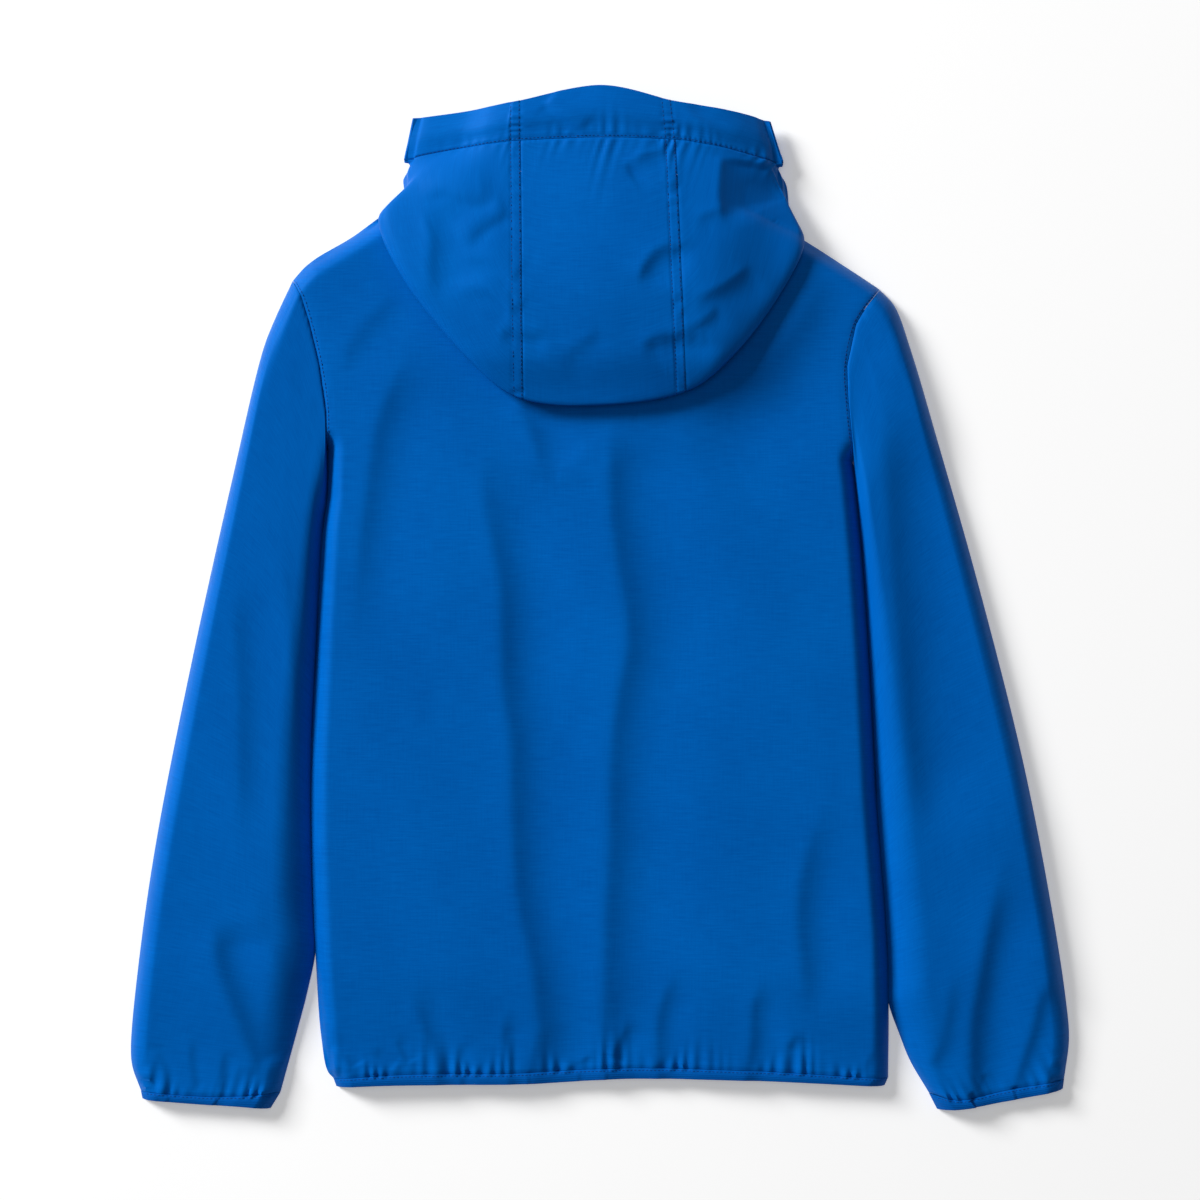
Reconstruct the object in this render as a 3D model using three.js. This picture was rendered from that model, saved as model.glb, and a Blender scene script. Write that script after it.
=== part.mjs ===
// Anorak pullover of nylon taffeta, laid out flat on its front with its back and hood uppermost.
// Millimetres, +Z up. The origin lies on the surface under the middle of the garment. +Y runs from
// hem to hood, and -X is the wearer's left. Every piece is a wall of cloth, SEAM_GAP from the next.
import * as THREE from "three";

// Driving dimensions
const CLOTH = 1.2; // the shell's wall
const SEAM_GAP = 0.3;
const BINDING_WALL = 1.6; // elastic tape folded over the raw edge
const CASING_WALL = 2; // the hood's turned brim, two layers of cloth
const BODY_LOFT = 15; // the back's height above its own edge
const HEM_LOFT = 10;
const HEM_FALL = 90; // the length over which the back comes down to the hem
const EDGE_ROUND = 22; // the width over which a panel rounds down to its edge
const EDGE_HEIGHT = 2 * CLOTH + SEAM_GAP; // two layers lie on each other at an edge
const SLEEVE_LOFT = 16;
const CUFF_LOFT = 9;
const GATHER_DEPTH = 1.1;
const BRIM_PUCKER = 1;
const HOOD_CLEAR = 2.5; // the hood's under layer over the back, away from its seam
const NYLON_BLUE = 0x0059b0;
const BINDING_BLUE = 0x004e9c;

// The outline of the body, from the hem up to the underarm, the shoulder tip and the neck point
const SIDE_SEAM = {
  left: [
    { x: -203.7, y: -364.8 },
    { x: -208, y: -359.5 },
    { x: -212.5, y: -336 },
    { x: -216.6, y: -282 },
    { x: -220.4, y: -185 },
    { x: -220.4, y: -123 },
    { x: -216.4, y: -33 },
    { x: -211.7, y: 55 },
    { x: -208.6, y: 78 },
    { x: -208.2, y: 117 },
  ],
  right: [
    { x: 220, y: -364.5 },
    { x: 220.4, y: -310 },
    { x: 218.9, y: -255 },
    { x: 211.3, y: -153 },
    { x: 206.4, y: -57 },
    { x: 200.3, y: 36 },
    { x: 195.3, y: 90 },
    { x: 193, y: 106 },
  ],
};
const ARMHOLE = {
  left: [
    { x: -208.2, y: 117 },
    { x: -208.1, y: 144 },
    { x: -213.2, y: 180 },
    { x: -220.7, y: 211 },
    { x: -227, y: 231 },
    { x: -234.5, y: 244 },
  ],
  right: [
    { x: 193, y: 106 },
    { x: 188.5, y: 153 },
    { x: 187.7, y: 178 },
    { x: 194.6, y: 210 },
    { x: 202.2, y: 223 },
    { x: 213.6, y: 237 },
  ],
};
const SHOULDER = {
  left: [
    { x: -234.5, y: 244 },
    { x: -221.9, y: 257 },
    { x: -190.8, y: 276 },
    { x: -148.5, y: 303 },
    { x: -110, y: 309 },
    { x: -80, y: 306 },
  ],
  right: [
    { x: 213.6, y: 237 },
    { x: 187, y: 254.6 },
    { x: 148.2, y: 279 },
    { x: 110, y: 298.5 },
    { x: 80, y: 301.5 },
  ],
};
const BACK_NECK = [
  { x: -80, y: 306 },
  { x: -40, y: 297 },
  { x: 0, y: 294 },
  { x: 40, y: 295 },
  { x: 80, y: 301.5 },
];
const HEM = [
  { x: -203.7, y: -364.8 },
  { x: -150.5, y: -361 },
  { x: -65, y: -360 },
  { x: 15, y: -356.4 },
  { x: 127, y: -358.7 },
  { x: 220, y: -364.5 },
];
const HEM_BOTTOM = [
  { x: -201.4, y: -371.3 },
  { x: -162.6, y: -369.6 },
  { x: -45, y: -368.1 },
  { x: 15, y: -364.8 },
  { x: 127, y: -366.3 },
  { x: 217.4, y: -370.6 },
];

// Each sleeve: the free part of its inner edge, its outer edge, its cuff line and the edge of its
// binding, with the width over which it rises beside the body
const SLEEVE = {
  left: {
    sign: -1,
    innerRound: 34,
    free: [
      { x: -223.7, y: -300 },
      { x: -231.3, y: -329 },
      { x: -244, y: -375.4 },
    ],
    outer: [
      { x: -248.5, y: 214.3 },
      { x: -257.3, y: 191.5 },
      { x: -281.2, y: 91.2 },
      { x: -311.6, y: -45.6 },
      { x: -338.2, y: -179.4 },
      { x: -351.1, y: -266 },
      { x: -358.4, y: -341.2 },
      { x: -357.2, y: -356.4 },
      { x: -350.8, y: -374.4 },
    ],
    cuff: [
      { x: -244, y: -375.4 },
      { x: -291.8, y: -378 },
      { x: -350.8, y: -374.4 },
    ],
    cuffBottom: [
      { x: -251.6, y: -388.1 },
      { x: -272.8, y: -385.9 },
      { x: -304.4, y: -384 },
      { x: -349.6, y: -380.6 },
    ],
  },
  right: {
    sign: 1,
    innerRound: 58,
    free: [
      { x: 229.1, y: -332.6 },
      { x: 236.7, y: -351.5 },
      { x: 251.2, y: -376.2 },
    ],
    outer: [
      { x: 225, y: 224.6 },
      { x: 237.5, y: 190.8 },
      { x: 257.9, y: 121.6 },
      { x: 287.9, y: 16 },
      { x: 322.8, y: -121.6 },
      { x: 343.8, y: -228 },
      { x: 355.7, y: -303.6 },
      { x: 358.3, y: -335.2 },
      { x: 354.6, y: -365.4 },
    ],
    cuff: [
      { x: 251.2, y: -376.2 },
      { x: 273.2, y: -380.5 },
      { x: 314.6, y: -372.4 },
      { x: 354.6, y: -365.4 },
    ],
    cuffBottom: [
      { x: 257.5, y: -388.7 },
      { x: 276, y: -387.8 },
      { x: 323.6, y: -379.2 },
      { x: 353.6, y: -373.2 },
    ],
  },
};

// The large folds: soft troughs along a path of [x, y] points, half as wide as "width" at their lips
const BACK_FOLDS = [
  { name: "left shoulder", depth: 4, width: 12, path: [[-150, 239], [-180, 208], [-195, 163]] },
  { name: "left side", depth: 5, width: 12, path: [[-141, 191], [-168, 138], [-182, 43], [-191, -49]] },
  {
    name: "left of middle",
    depth: 6.5,
    width: 12,
    path: [[-77, 129], [-88, 90], [-77, 12], [-74, -65], [-66, -200], [-52, -278], [-46, -324], [-54, -357]],
  },
  { name: "under the hood", depth: 5, width: 10, path: [[-64, 152], [-42, 98], [-30, 84]] },
  {
    name: "middle",
    depth: 5.5,
    width: 12,
    path: [[10, 143], [8, 74], [25, -34], [10, -76], [7, -185], [3, -302], [4, -354]],
  },
  {
    name: "right side",
    depth: 6,
    width: 12,
    path: [[186, -140], [159, -185], [150, -247], [158, -319], [141, -342]],
  },
  { name: "hem, right of middle", depth: 3.5, width: 9, path: [[61, -277], [43, -328], [44, -351]] },
  { name: "hem, right", depth: 3.5, width: 9, path: [[127, -284], [115, -331], [112, -354]] },
  { name: "hem, left", depth: 3.5, width: 9, path: [[-148, -296], [-128, -345], [-125, -358]] },
];
const SLEEVE_FOLDS = {
  left: [
    { name: "elbow", depth: 5, width: 11, path: [[-271, 29], [-277, -18], [-274, -122], [-274, -190]] },
    { name: "wrist", depth: 5, width: 10, path: [[-294, -242], [-288, -285], [-267, -341], [-259, -362]] },
    { name: "head", depth: 4, width: 10, path: [[-238, 222], [-229, 196]] },
  ],
  right: [
    { name: "wrist", depth: 5.5, width: 10, path: [[308, -190], [288, -285], [282, -322], [282, -366]] },
    { name: "wrist, outer", depth: 4, width: 9, path: [[350, -282], [328, -329], [320, -354]] },
    { name: "head", depth: 4, width: 10, path: [[219, 217], [203, 190], [195, 178]] },
  ],
};
const HOOD_FOLDS = [
  { name: "crown, right", depth: 5, width: 10, path: [[27, 236], [45, 260], [73, 268]] },
  { name: "crown, low", depth: 4.5, width: 9, path: [[27, 188], [59, 197], [90, 197]] },
  { name: "left, high", depth: 4, width: 9, path: [[-139, 318], [-99, 307]] },
  { name: "left, middle", depth: 4, width: 9, path: [[-65, 293], [-99, 271]] },
  { name: "left, low", depth: 4, width: 9, path: [[-104, 233], [-67, 221]] },
  { name: "brim, middle", depth: 3.5, width: 9, path: [[-14, 349], [12, 326], [54, 308]] },
];

// The hood's lines, from the seam at the neck, under the hood, round its folded edge and over its
// crown to the brim seam and the brim's edge. "fold" is where a line turns over on the outline,
// "turn" the height from the under layer to the crown there, "crown" the height of its middle, and
// "seamZ" and "lip" the heights at the brim. A line with no fold lies low as far as the brim.
const HOOD_LINES = [
  { name: "throat_left", neck: [-0.2, 252], seam: [-0.2, 312], edge: [-0.2, 340], seamZ: 0, lip: 0 },
  { name: "cheek_left_low", neck: [-40, 264], seam: [-34, 320], edge: [-33, 348], seamZ: 0, lip: 0 },
  { name: "cheek_left", neck: [-66, 285], seam: [-62, 328], edge: [-60, 357], seamZ: 0, lip: 0 },
  { name: "point_left", neck: [-77, 308.5], seam: [-84, 332], edge: [-80, 361], seamZ: 0, lip: 0 },
  { name: "corner_left", neck: [-79, 309.5], seam: [-145.5, 334], edge: [-139, 366], seamZ: 9, lip: 9 },
  {
    name: "side_left_corner",
    neck: [-79, 308.5],
    fold: [-147.5, 324],
    seam: [-142, 335.5],
    edge: [-135.5, 367],
    turn: 6,
    crown: 12,
    seamZ: 12,
    lip: 11,
  },
  {
    name: "side_left_top",
    neck: [-79, 307.5],
    fold: [-150, 304],
    seam: [-137, 337.5],
    edge: [-130, 367.5],
    turn: 12,
    crown: 19,
    seamZ: 15,
    lip: 13,
  },
  {
    name: "side_left_high",
    neck: [-70, 303.5],
    fold: [-168, 287],
    seam: [-108, 342.5],
    edge: [-101, 371],
    turn: 13,
    crown: 27,
    seamZ: 20,
    lip: 17,
  },
  {
    name: "side_left",
    neck: [-58, 300],
    fold: [-146, 238],
    seam: [-88, 345],
    edge: [-82, 374],
    turn: 16,
    crown: 36,
    seamZ: 27,
    lip: 24,
  },
  {
    name: "side_left_low",
    neck: [-45, 297],
    fold: [-98, 180],
    seam: [-74, 346.3],
    edge: [-69, 376.4],
    turn: 17,
    crown: 41,
    seamZ: 30,
    lip: 27,
  },
  {
    name: "twin_left",
    neck: [-30, 294.5],
    fold: [-58, 152],
    seam: [-60, 347.4],
    edge: [-60, 377.7],
    turn: 17,
    crown: 43,
    seamZ: 31,
    lip: 29,
  },
  {
    name: "middle",
    neck: [0, 293],
    fold: [5, 148],
    seam: [-1, 349.5],
    edge: [0, 389.1],
    turn: 17,
    crown: 45,
    seamZ: 33,
    lip: 30,
  },
  {
    name: "twin_right",
    neck: [30, 293.5],
    fold: [65, 158],
    seam: [57, 348],
    edge: [54, 377.9],
    turn: 17,
    crown: 43,
    seamZ: 31,
    lip: 29,
  },
  {
    name: "side_right_low",
    neck: [45, 294.8],
    fold: [101, 185],
    seam: [77, 345.5],
    edge: [75, 375],
    turn: 17,
    crown: 41,
    seamZ: 30,
    lip: 27,
  },
  {
    name: "side_right",
    neck: [58, 297],
    fold: [134, 228],
    seam: [97, 342],
    edge: [95, 372],
    turn: 16,
    crown: 37,
    seamZ: 27,
    lip: 24,
  },
  {
    name: "side_right_high",
    neck: [70, 299.4],
    fold: [155, 270],
    seam: [121, 336],
    edge: [115, 368],
    turn: 13,
    crown: 27,
    seamZ: 20,
    lip: 16,
  },
  {
    name: "side_right_top",
    neck: [78.5, 303.5],
    fold: [145, 295],
    seam: [130, 334],
    edge: [121.5, 366],
    turn: 12,
    crown: 19,
    seamZ: 15,
    lip: 13,
  },
  {
    name: "side_right_corner",
    neck: [79, 304.5],
    fold: [139.5, 321],
    seam: [133.5, 333.2],
    edge: [124.5, 365.2],
    turn: 6,
    crown: 12,
    seamZ: 12,
    lip: 11,
  },
  { name: "corner_right", neck: [79, 305.5], seam: [136.5, 332], edge: [127, 363.5], seamZ: 9, lip: 9 },
  { name: "point_right", neck: [77, 304.5], seam: [84, 330], edge: [80, 359], seamZ: 0, lip: 0 },
  { name: "cheek_right", neck: [66, 283], seam: [62, 326], edge: [60, 355], seamZ: 0, lip: 0 },
  { name: "cheek_right_low", neck: [40, 263], seam: [34, 319], edge: [33, 347], seamZ: 0, lip: 0 },
  { name: "throat_right", neck: [0.2, 252], seam: [0.2, 312], edge: [0.2, 340], seamZ: 0, lip: 0 },
];

const { lerp, clamp, smoothstep } = THREE.MathUtils;

// Curves in the plan
const EDGE_POINTS = 24; // points along a long smooth edge

function curveThrough(rows) {
  const points = rows.map(({ x, y }) => new THREE.Vector3(x, y, 0));
  const curve = new THREE.CatmullRomCurve3(points, false, "centripetal");
  return (t) => curve.getPointAt(clamp(t, 0, 1));
}

// A path straight from row to row, with each row the same share of the way
function straightThrough(rows) {
  return (t) => {
    const place = clamp(t, 0, 1) * (rows.length - 1);
    const i = Math.min(Math.floor(place), rows.length - 2);
    const [a, b] = [rows[i], rows[i + 1]];
    return new THREE.Vector3(lerp(a.x, b.x, place - i), lerp(a.y, b.y, place - i), 0);
  };
}

function joined(...curves) {
  return curves.reduce((all, rows) => all.concat(all.length ? rows.slice(1) : rows), []);
}

function reversed(rows) {
  return [...rows].reverse();
}

function sampled(curve, count) {
  return Array.from({ length: count + 1 }, (_, i) => curve(i / count));
}

// Each row moved off its own path by a distance, to the side that "sign" gives in x
function movedOut(rows, distance, sign) {
  return rows.map(({ x, y }, i) => {
    const before = rows[Math.max(i - 1, 0)];
    const after = rows[Math.min(i + 1, rows.length - 1)];
    const [dx, dy] = [after.x - before.x, after.y - before.y];
    const length = Math.hypot(dx, dy) * Math.sign(dy) * sign;
    return { x: x + (distance * dy) / length, y: y - (distance * dx) / length };
  });
}

function distanceToPath(x, y, path) {
  let nearest = Infinity;
  for (let i = 0; i + 1 < path.length; i++) {
    const [[ax, ay], [bx, by]] = [path[i], path[i + 1]];
    const [dx, dy] = [bx - ax, by - ay];
    const t = clamp(((x - ax) * dx + (y - ay) * dy) / (dx * dx + dy * dy), 0, 1);
    nearest = Math.min(nearest, Math.hypot(x - ax - t * dx, y - ay - t * dy));
  }
  return nearest;
}

const asPath = (rows) => rows.map(({ x, y }) => [x, y]);
const LOW_EDGES = [SIDE_SEAM.left, SIDE_SEAM.right, SHOULDER.left, SHOULDER.right].map(asPath);

// Heights over the surface the garment lies on
function rise(distance, width) {
  return 1 - (1 - clamp(distance / width, 0, 1)) ** 2;
}

function troughs(x, y, folds) {
  return folds.reduce((sum, { depth, width, path }) => {
    return sum + depth * Math.exp(-((distanceToPath(x, y, path) / width) ** 2));
  }, 0);
}

function bodyHeight(x, y, foldDepth) {
  const edge = Math.min(...LOW_EDGES.map((path) => distanceToPath(x, y, path)));
  const loft = lerp(HEM_LOFT, BODY_LOFT, smoothstep(y - HEM[0].y, 0, HEM_FALL));
  return EDGE_HEIGHT + (loft - foldDepth) * rise(edge, EDGE_ROUND);
}

function backHeight(x, y) {
  return bodyHeight(x, y, troughs(x, y, BACK_FOLDS));
}

// The least height of a layer that lies on the back, falling away beyond its shoulders and neck
const BEYOND_FALL = 0.35;
const TOP_CURVE = curveThrough(joined(SHOULDER.left, BACK_NECK, reversed(SHOULDER.right)));
const TOP_EDGE = sampled(TOP_CURVE, 2 * EDGE_POINTS);

function overBack(x, y, clear) {
  const i = clamp(TOP_EDGE.findIndex((row) => row.x > x), 1, TOP_EDGE.length - 1);
  const [a, b] = [TOP_EDGE[i - 1], TOP_EDGE[i]];
  const edge = lerp(a.y, b.y, (x - a.x) / (b.x - a.x));
  const beyond = Math.max(y - edge, 0);
  const least = bodyHeight(x, Math.min(y, edge), 0);
  return Math.max(least + clear - BEYOND_FALL * beyond, 0);
}

// The wall stands CLOTH thick on a slope too
function underBack(x, y) {
  const step = 0.5;
  const slopeX = (backHeight(x + step, y) - backHeight(x - step, y)) / (2 * step);
  const slopeY = (backHeight(x, y + step) - backHeight(x, y - step)) / (2 * step);
  const thickness = CLOTH * Math.min(Math.hypot(1, slopeX, slopeY), 2);
  return Math.max(backHeight(x, y) - thickness, CLOTH + SEAM_GAP);
}

// Elastic draws the cloth up in puckers of uneven depth
function pucker(index, depth) {
  return depth * (index % 2 ? -1 : 1) * (0.7 + 0.3 * Math.sin(index * 2.4));
}

// A patch of the plan between four edge curves: u runs along its two sides, v from side to side
function patchOf(sideA, sideB, start, end) {
  return (u, v) => {
    const point = sideA(u).multiplyScalar(1 - v).addScaledVector(sideB(u), v);
    point.addScaledVector(start(v), 1 - u).addScaledVector(end(v), u);
    point.addScaledVector(start(0), -(1 - u) * (1 - v)).addScaledVector(start(1), -(1 - u) * v);
    return point.addScaledVector(end(0), -u * (1 - v)).addScaledVector(end(1), -u * v);
  };
}

// Shares of a width: at given distances from both edges, and evenly between those
function stepsAcross(width, nearEdge, count) {
  const margins = nearEdge.map((distance) => distance / width);
  const last = margins.at(-1);
  const middle = [];
  for (let i = 1; i < count; i++) middle.push(lerp(last, 1 - last, i / count));
  return [...margins, ...middle, ...reversed(margins).map((t) => 1 - t)];
}

function shares(count) {
  return Array.from({ length: count - 1 }, (_, i) => (i + 1) / count);
}

function doubled(steps) {
  return steps.flatMap((t, i) => (i ? [(steps[i - 1] + t) / 2, t] : [t]));
}

function clothMesh(name, geometry, color = NYLON_BLUE) {
  const material = new THREE.MeshStandardMaterial({ color, roughness: 0.55, metalness: 0 });
  const mesh = new THREE.Mesh(geometry, material);
  mesh.name = name;
  return mesh;
}

// A closed wall between an outer and an inner grid of points, whose rows may double their
// segments from one to the next. In a ring each row closes on itself.
function wallGeometry(outer, inner, ring = false) {
  const positions = [];
  const triangles = [];
  const numbered = (rows) =>
    rows.map((row) => row.map((p) => positions.push(p.x, p.y, p.z) / 3 - 1));
  const [outside, inside] = [numbered(outer), numbered(inner)];
  const segments = (row) => (ring ? row.length : row.length - 1);
  const skin = (rows, turned) => {
    const face = (a, b, c) => triangles.push(...(turned ? [a, c, b] : [a, b, c]));
    for (let i = 0; i + 1 < rows.length; i++) {
      const [low, high] = [rows[i], rows[i + 1]];
      const step = segments(high) / segments(low);
      for (let j = 0; j < segments(low); j++) {
        const [a, b] = [low[j], low[(j + 1) % low.length]];
        const [c, d] = [high[j * step], high[(j * step + step) % high.length]];
        if (step === 2) {
          const middle = high[j * step + 1];
          face(a, middle, c);
          face(a, b, middle);
          face(b, d, middle);
        } else {
          face(a, b, c);
          face(b, d, c);
        }
      }
    }
  };
  skin(outside, false);
  skin(inside, true);
  const rim = (over, under) => {
    for (let j = 0; j < over.length - 1; j++) {
      triangles.push(over[j], under[j], under[j + 1], over[j], under[j + 1], over[j + 1]);
    }
  };
  const closed = (row) => (ring ? [...row, row[0]] : row);
  rim(closed(outside[0]), closed(inside[0]));
  rim(reversed(closed(outside.at(-1))), reversed(closed(inside.at(-1))));
  if (!ring) {
    const column = (rows, j) => rows.map((row) => row.at(j));
    rim(reversed(column(outside, 0)), reversed(column(inside, 0)));
    rim(column(outside, -1), column(inside, -1));
  }
  const geometry = new THREE.BufferGeometry();
  geometry.setAttribute("position", new THREE.Float32BufferAttribute(positions, 3));
  geometry.setIndex(facingOut(positions, triangles));
  geometry.computeVertexNormals();
  return geometry;
}

function facingOut(positions, triangles) {
  const at = (i) => new THREE.Vector3().fromArray(positions, 3 * i);
  let volume = 0;
  for (let i = 0; i < triangles.length; i += 3) {
    const [a, b, c] = triangles.slice(i, i + 3).map(at);
    volume += a.dot(b.cross(c)) / 6;
  }
  return volume < 0 ? reversed(triangles) : triangles;
}

// Hood: a net of 10 points along each line, curved between them. Its first 8 end at the brim seam.
const NET_FOLD = 3;
const NET_SEAM = 7;
const NET_EDGE = 9;
const NET_CLOSING = 1.5; // how the points of a line with no fold close up towards the brim
const SEAM_DRAW = 0.6 * SEAM_GAP; // how far each of two pieces stays from the seam between them
const BRIM_DRAW = 0.7; // at the brim, whose wall is the thicker
const LINE_STEPS = 3; // steps of the finished wall from one line to the next
const CENTRE_STEPS = 4; // and across the hood's centre
const POINT_STEPS = 2; // and from one net point to the next

function netLine({ neck, fold, seam, edge, turn, crown, seamZ, lip }) {
  const [a, b, c] = [neck, seam, edge].map(([x, y]) => new THREE.Vector3(x, y, 0));
  const at = (from, to, share, z) => from.clone().lerp(to, share).setZ(z);
  const brim = [at(b, c, 0.5, lerp(seamZ, lip, 0.4) + (fold ? 1.5 : 0)), at(b, c, 1, lip)];
  if (!fold) {
    const heights = (share) => lerp((seamZ ? 2 : 0) * (1 - share), seamZ, smoothstep(share, 0.4, 1));
    const closing = (share) => 1 - (1 - share) ** NET_CLOSING;
    const line = sampled((t) => at(a, b, closing(t), heights(closing(t))), NET_SEAM);
    return [...line, ...brim];
  }
  const f = new THREE.Vector3(...fold, 0);
  const inward = turn * 0.6;
  const [toNeck, toSeam] = [inward / f.distanceTo(a), inward / f.distanceTo(b)];
  const overBody = (p, clear) => p.setZ(overBack(p.x, p.y, clear));
  const under = overBody(f.clone().lerp(a, toNeck), HOOD_CLEAR);
  return [
    overBody(a.clone(), SEAM_GAP),
    overBody(a.clone().lerp(f, 0.45), HOOD_CLEAR),
    under,
    at(f, f, 0, under.z + turn / 2),
    at(f, b, toSeam, under.z + turn),
    at(f, b, 0.4, crown),
    at(f, b, 0.75, lerp(crown, seamZ, 0.45)),
    at(b, b, 0, seamZ),
    ...brim,
  ];
}

// The point at a place between equally spaced ones, on a smooth curve through them all
function between(points, place) {
  const i = Math.min(Math.floor(place), points.length - 2);
  const [p, q] = [points[i], points[i + 1]];
  const before = points[i - 1] ?? p.clone().multiplyScalar(2).sub(q);
  const after = points[i + 2] ?? q.clone().multiplyScalar(2).sub(p);
  const t = place - i;
  const curve = new THREE.Vector3();
  curve.addScaledVector(before, -0.5 * t ** 3 + t ** 2 - 0.5 * t);
  curve.addScaledVector(p, 1.5 * t ** 3 - 2.5 * t ** 2 + 1);
  curve.addScaledVector(q, -1.5 * t ** 3 + 2 * t ** 2 + 0.5 * t);
  return curve.addScaledVector(after, 0.5 * t ** 3 - 0.5 * t ** 2);
}

const lineNumber = (name) => HOOD_LINES.findIndex((line) => line.name === name);
const HOOD_NET = HOOD_LINES.map(netLine);
const SIDE_LINES = ["side_left_corner", "side_right_corner"].map(lineNumber);

function hoodPoint(line, place) {
  const across = HOOD_NET[0].map((_, k) => between(HOOD_NET.map((net) => net[k]), line));
  const point = between(across, place);
  const onBack = line > SIDE_LINES[0] && line < SIDE_LINES[1] && place < NET_FOLD;
  const clear = lerp(2 * SEAM_GAP, HOOD_CLEAR, clamp(place, 0, 1));
  return point.setZ(Math.max(point.z, onBack ? overBack(point.x, point.y, clear) : 0));
}

function hoodNormal(line, place) {
  const step = 0.05;
  const lineEnd = HOOD_LINES.length - 1;
  const alongLine = hoodPoint(line, Math.min(place + step, NET_EDGE));
  alongLine.sub(hoodPoint(line, Math.max(place - step, 0)));
  const acrossLines = hoodPoint(Math.min(line + step, lineEnd), place);
  acrossLines.sub(hoodPoint(Math.max(line - step, 0), place));
  return acrossLines.cross(alongLine).normalize();
}

// Moves an edge off its seam towards the points beside it, further where those lie at a slant
function drawIn(edge, beside, distance) {
  const along = edge.map((p, i) => {
    const [before, after] = [edge[Math.max(i - 1, 0)], edge[Math.min(i + 1, edge.length - 1)]];
    return after.clone().sub(before).normalize();
  });
  edge.forEach((p, i) => {
    const inward = beside[i].clone().sub(p);
    const square = Math.max(along[i].cross(inward.clone().normalize()).length(), 0.2);
    p.add(inward.setLength(distance / square));
  });
}

// The hood's wall between two of its lines and two of its net points, drawn in by half a seam gap
// at each end that "seams" names
function hoodPiece(name, [firstLine, lastLine], [firstPoint, lastPoint], wall, lineSteps, seams) {
  const [from, to] = [lineNumber(firstLine), lineNumber(lastLine)];
  const rows = { outer: [], inner: [] };
  const lineCount = (to - from) * lineSteps;
  const pointCount = (lastPoint - firstPoint) * POINT_STEPS;
  for (let i = 0; i <= lineCount; i++) {
    const outer = [];
    const inner = [];
    for (let j = 0; j <= pointCount; j++) {
      const [line, place] = [from + i / lineSteps, firstPoint + j / POINT_STEPS];
      const normal = hoodNormal(line, place);
      const point = hoodPoint(line, place);
      const upper = smoothstep(normal.z, 0.3, 0.8);
      const casing = firstPoint === NET_SEAM ? pucker(i, BRIM_PUCKER) * (j === 1 || j === 2) : 0;
      const lift = upper * (casing - troughs(point.x, point.y, HOOD_FOLDS));
      point.addScaledVector(normal, lift);
      outer.push(point);
      const within = point.clone().addScaledVector(normal, -wall);
      inner.push(within.setZ(Math.max(within.z, 0.2)));
    }
    rows.outer.push(outer);
    rows.inner.push(inner);
  }
  for (const grid of [rows.outer, rows.inner]) {
    const column = (j) => grid.map((row) => row.at(j));
    if (seams.firstLine) drawIn(grid[0], grid[1], SEAM_DRAW);
    if (seams.lastLine) drawIn(grid.at(-1), grid.at(-2), SEAM_DRAW);
    if (seams.firstPoint) drawIn(column(0), column(1), BRIM_DRAW);
    if (seams.lastPoint) drawIn(column(-1), column(-2), BRIM_DRAW);
  }
  return clothMesh(name, wallGeometry(rows.outer, rows.inner));
}

function hood() {
  const cloth = [0, NET_SEAM];
  const casing = [NET_SEAM, NET_EDGE];
  return [
    hoodPiece("hood_side_left", ["throat_left", "twin_left"], cloth, CLOTH, LINE_STEPS, {
      lastLine: true,
      lastPoint: true,
    }),
    hoodPiece("hood_centre", ["twin_left", "twin_right"], cloth, CLOTH, CENTRE_STEPS, {
      firstLine: true,
      lastLine: true,
      lastPoint: true,
    }),
    hoodPiece("hood_side_right", ["twin_right", "throat_right"], cloth, CLOTH, LINE_STEPS, {
      firstLine: true,
      lastPoint: true,
    }),
    hoodPiece("hood_brim", ["throat_left", "throat_right"], casing, CASING_WALL, LINE_STEPS, {
      firstPoint: true,
    }),
  ];
}

// Front panel, flat on the surface with a plain closed front. Its neck follows the hood's seam.
function frontNeck() {
  const neckOf = (from, to) => {
    const [first, last] = [lineNumber(from), lineNumber(to)];
    const steps = Math.abs(last - first) * LINE_STEPS;
    return sampled((t) => hoodPoint(lerp(first, last, t), 0), steps);
  };
  const left = movedOut(neckOf("throat_left", "point_left"), SEAM_GAP, -1);
  const right = movedOut(neckOf("throat_right", "point_right"), SEAM_GAP, 1);
  return [...reversed(left.slice(0, -1)), ...right.slice(0, -1)];
}

function frontPanel() {
  const edgeOf = (rows) => sampled(curveThrough(rows), EDGE_POINTS);
  const outline = [
    ...edgeOf(HEM),
    ...joined(edgeOf(SIDE_SEAM.right), ARMHOLE.right, SHOULDER.right).slice(1),
    ...reversed(frontNeck()),
    ...reversed(joined(edgeOf(SIDE_SEAM.left), ARMHOLE.left, SHOULDER.left)).slice(0, -1),
  ];
  const shape = new THREE.Shape(outline.map(({ x, y }) => new THREE.Vector2(x, y)));
  return clothMesh("front", new THREE.ExtrudeGeometry(shape, { depth: CLOTH, bevelEnabled: false }));
}

// Back panel, over the front and joined to it at the side seams and shoulders. Its rows rise from
// the hem to the underarm, then follow the armholes row by row.
const UNDERARM = 0.77; // the side seam's share of the panel's side
const BACK_COLUMNS = 30;
const BACK_ROWS = 19;
const EDGE_COLUMNS = [0, 3.5, 9, 17];
const GATHER_ROWS = [0, 5, 12]; // distances from the hem

function backSide(side) {
  const [seam, armhole] = [curveThrough(SIDE_SEAM[side]), straightThrough(ARMHOLE[side])];
  return (u) => (u < UNDERARM ? seam(u / UNDERARM) : armhole((u - UNDERARM) / (1 - UNDERARM)));
}

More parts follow.
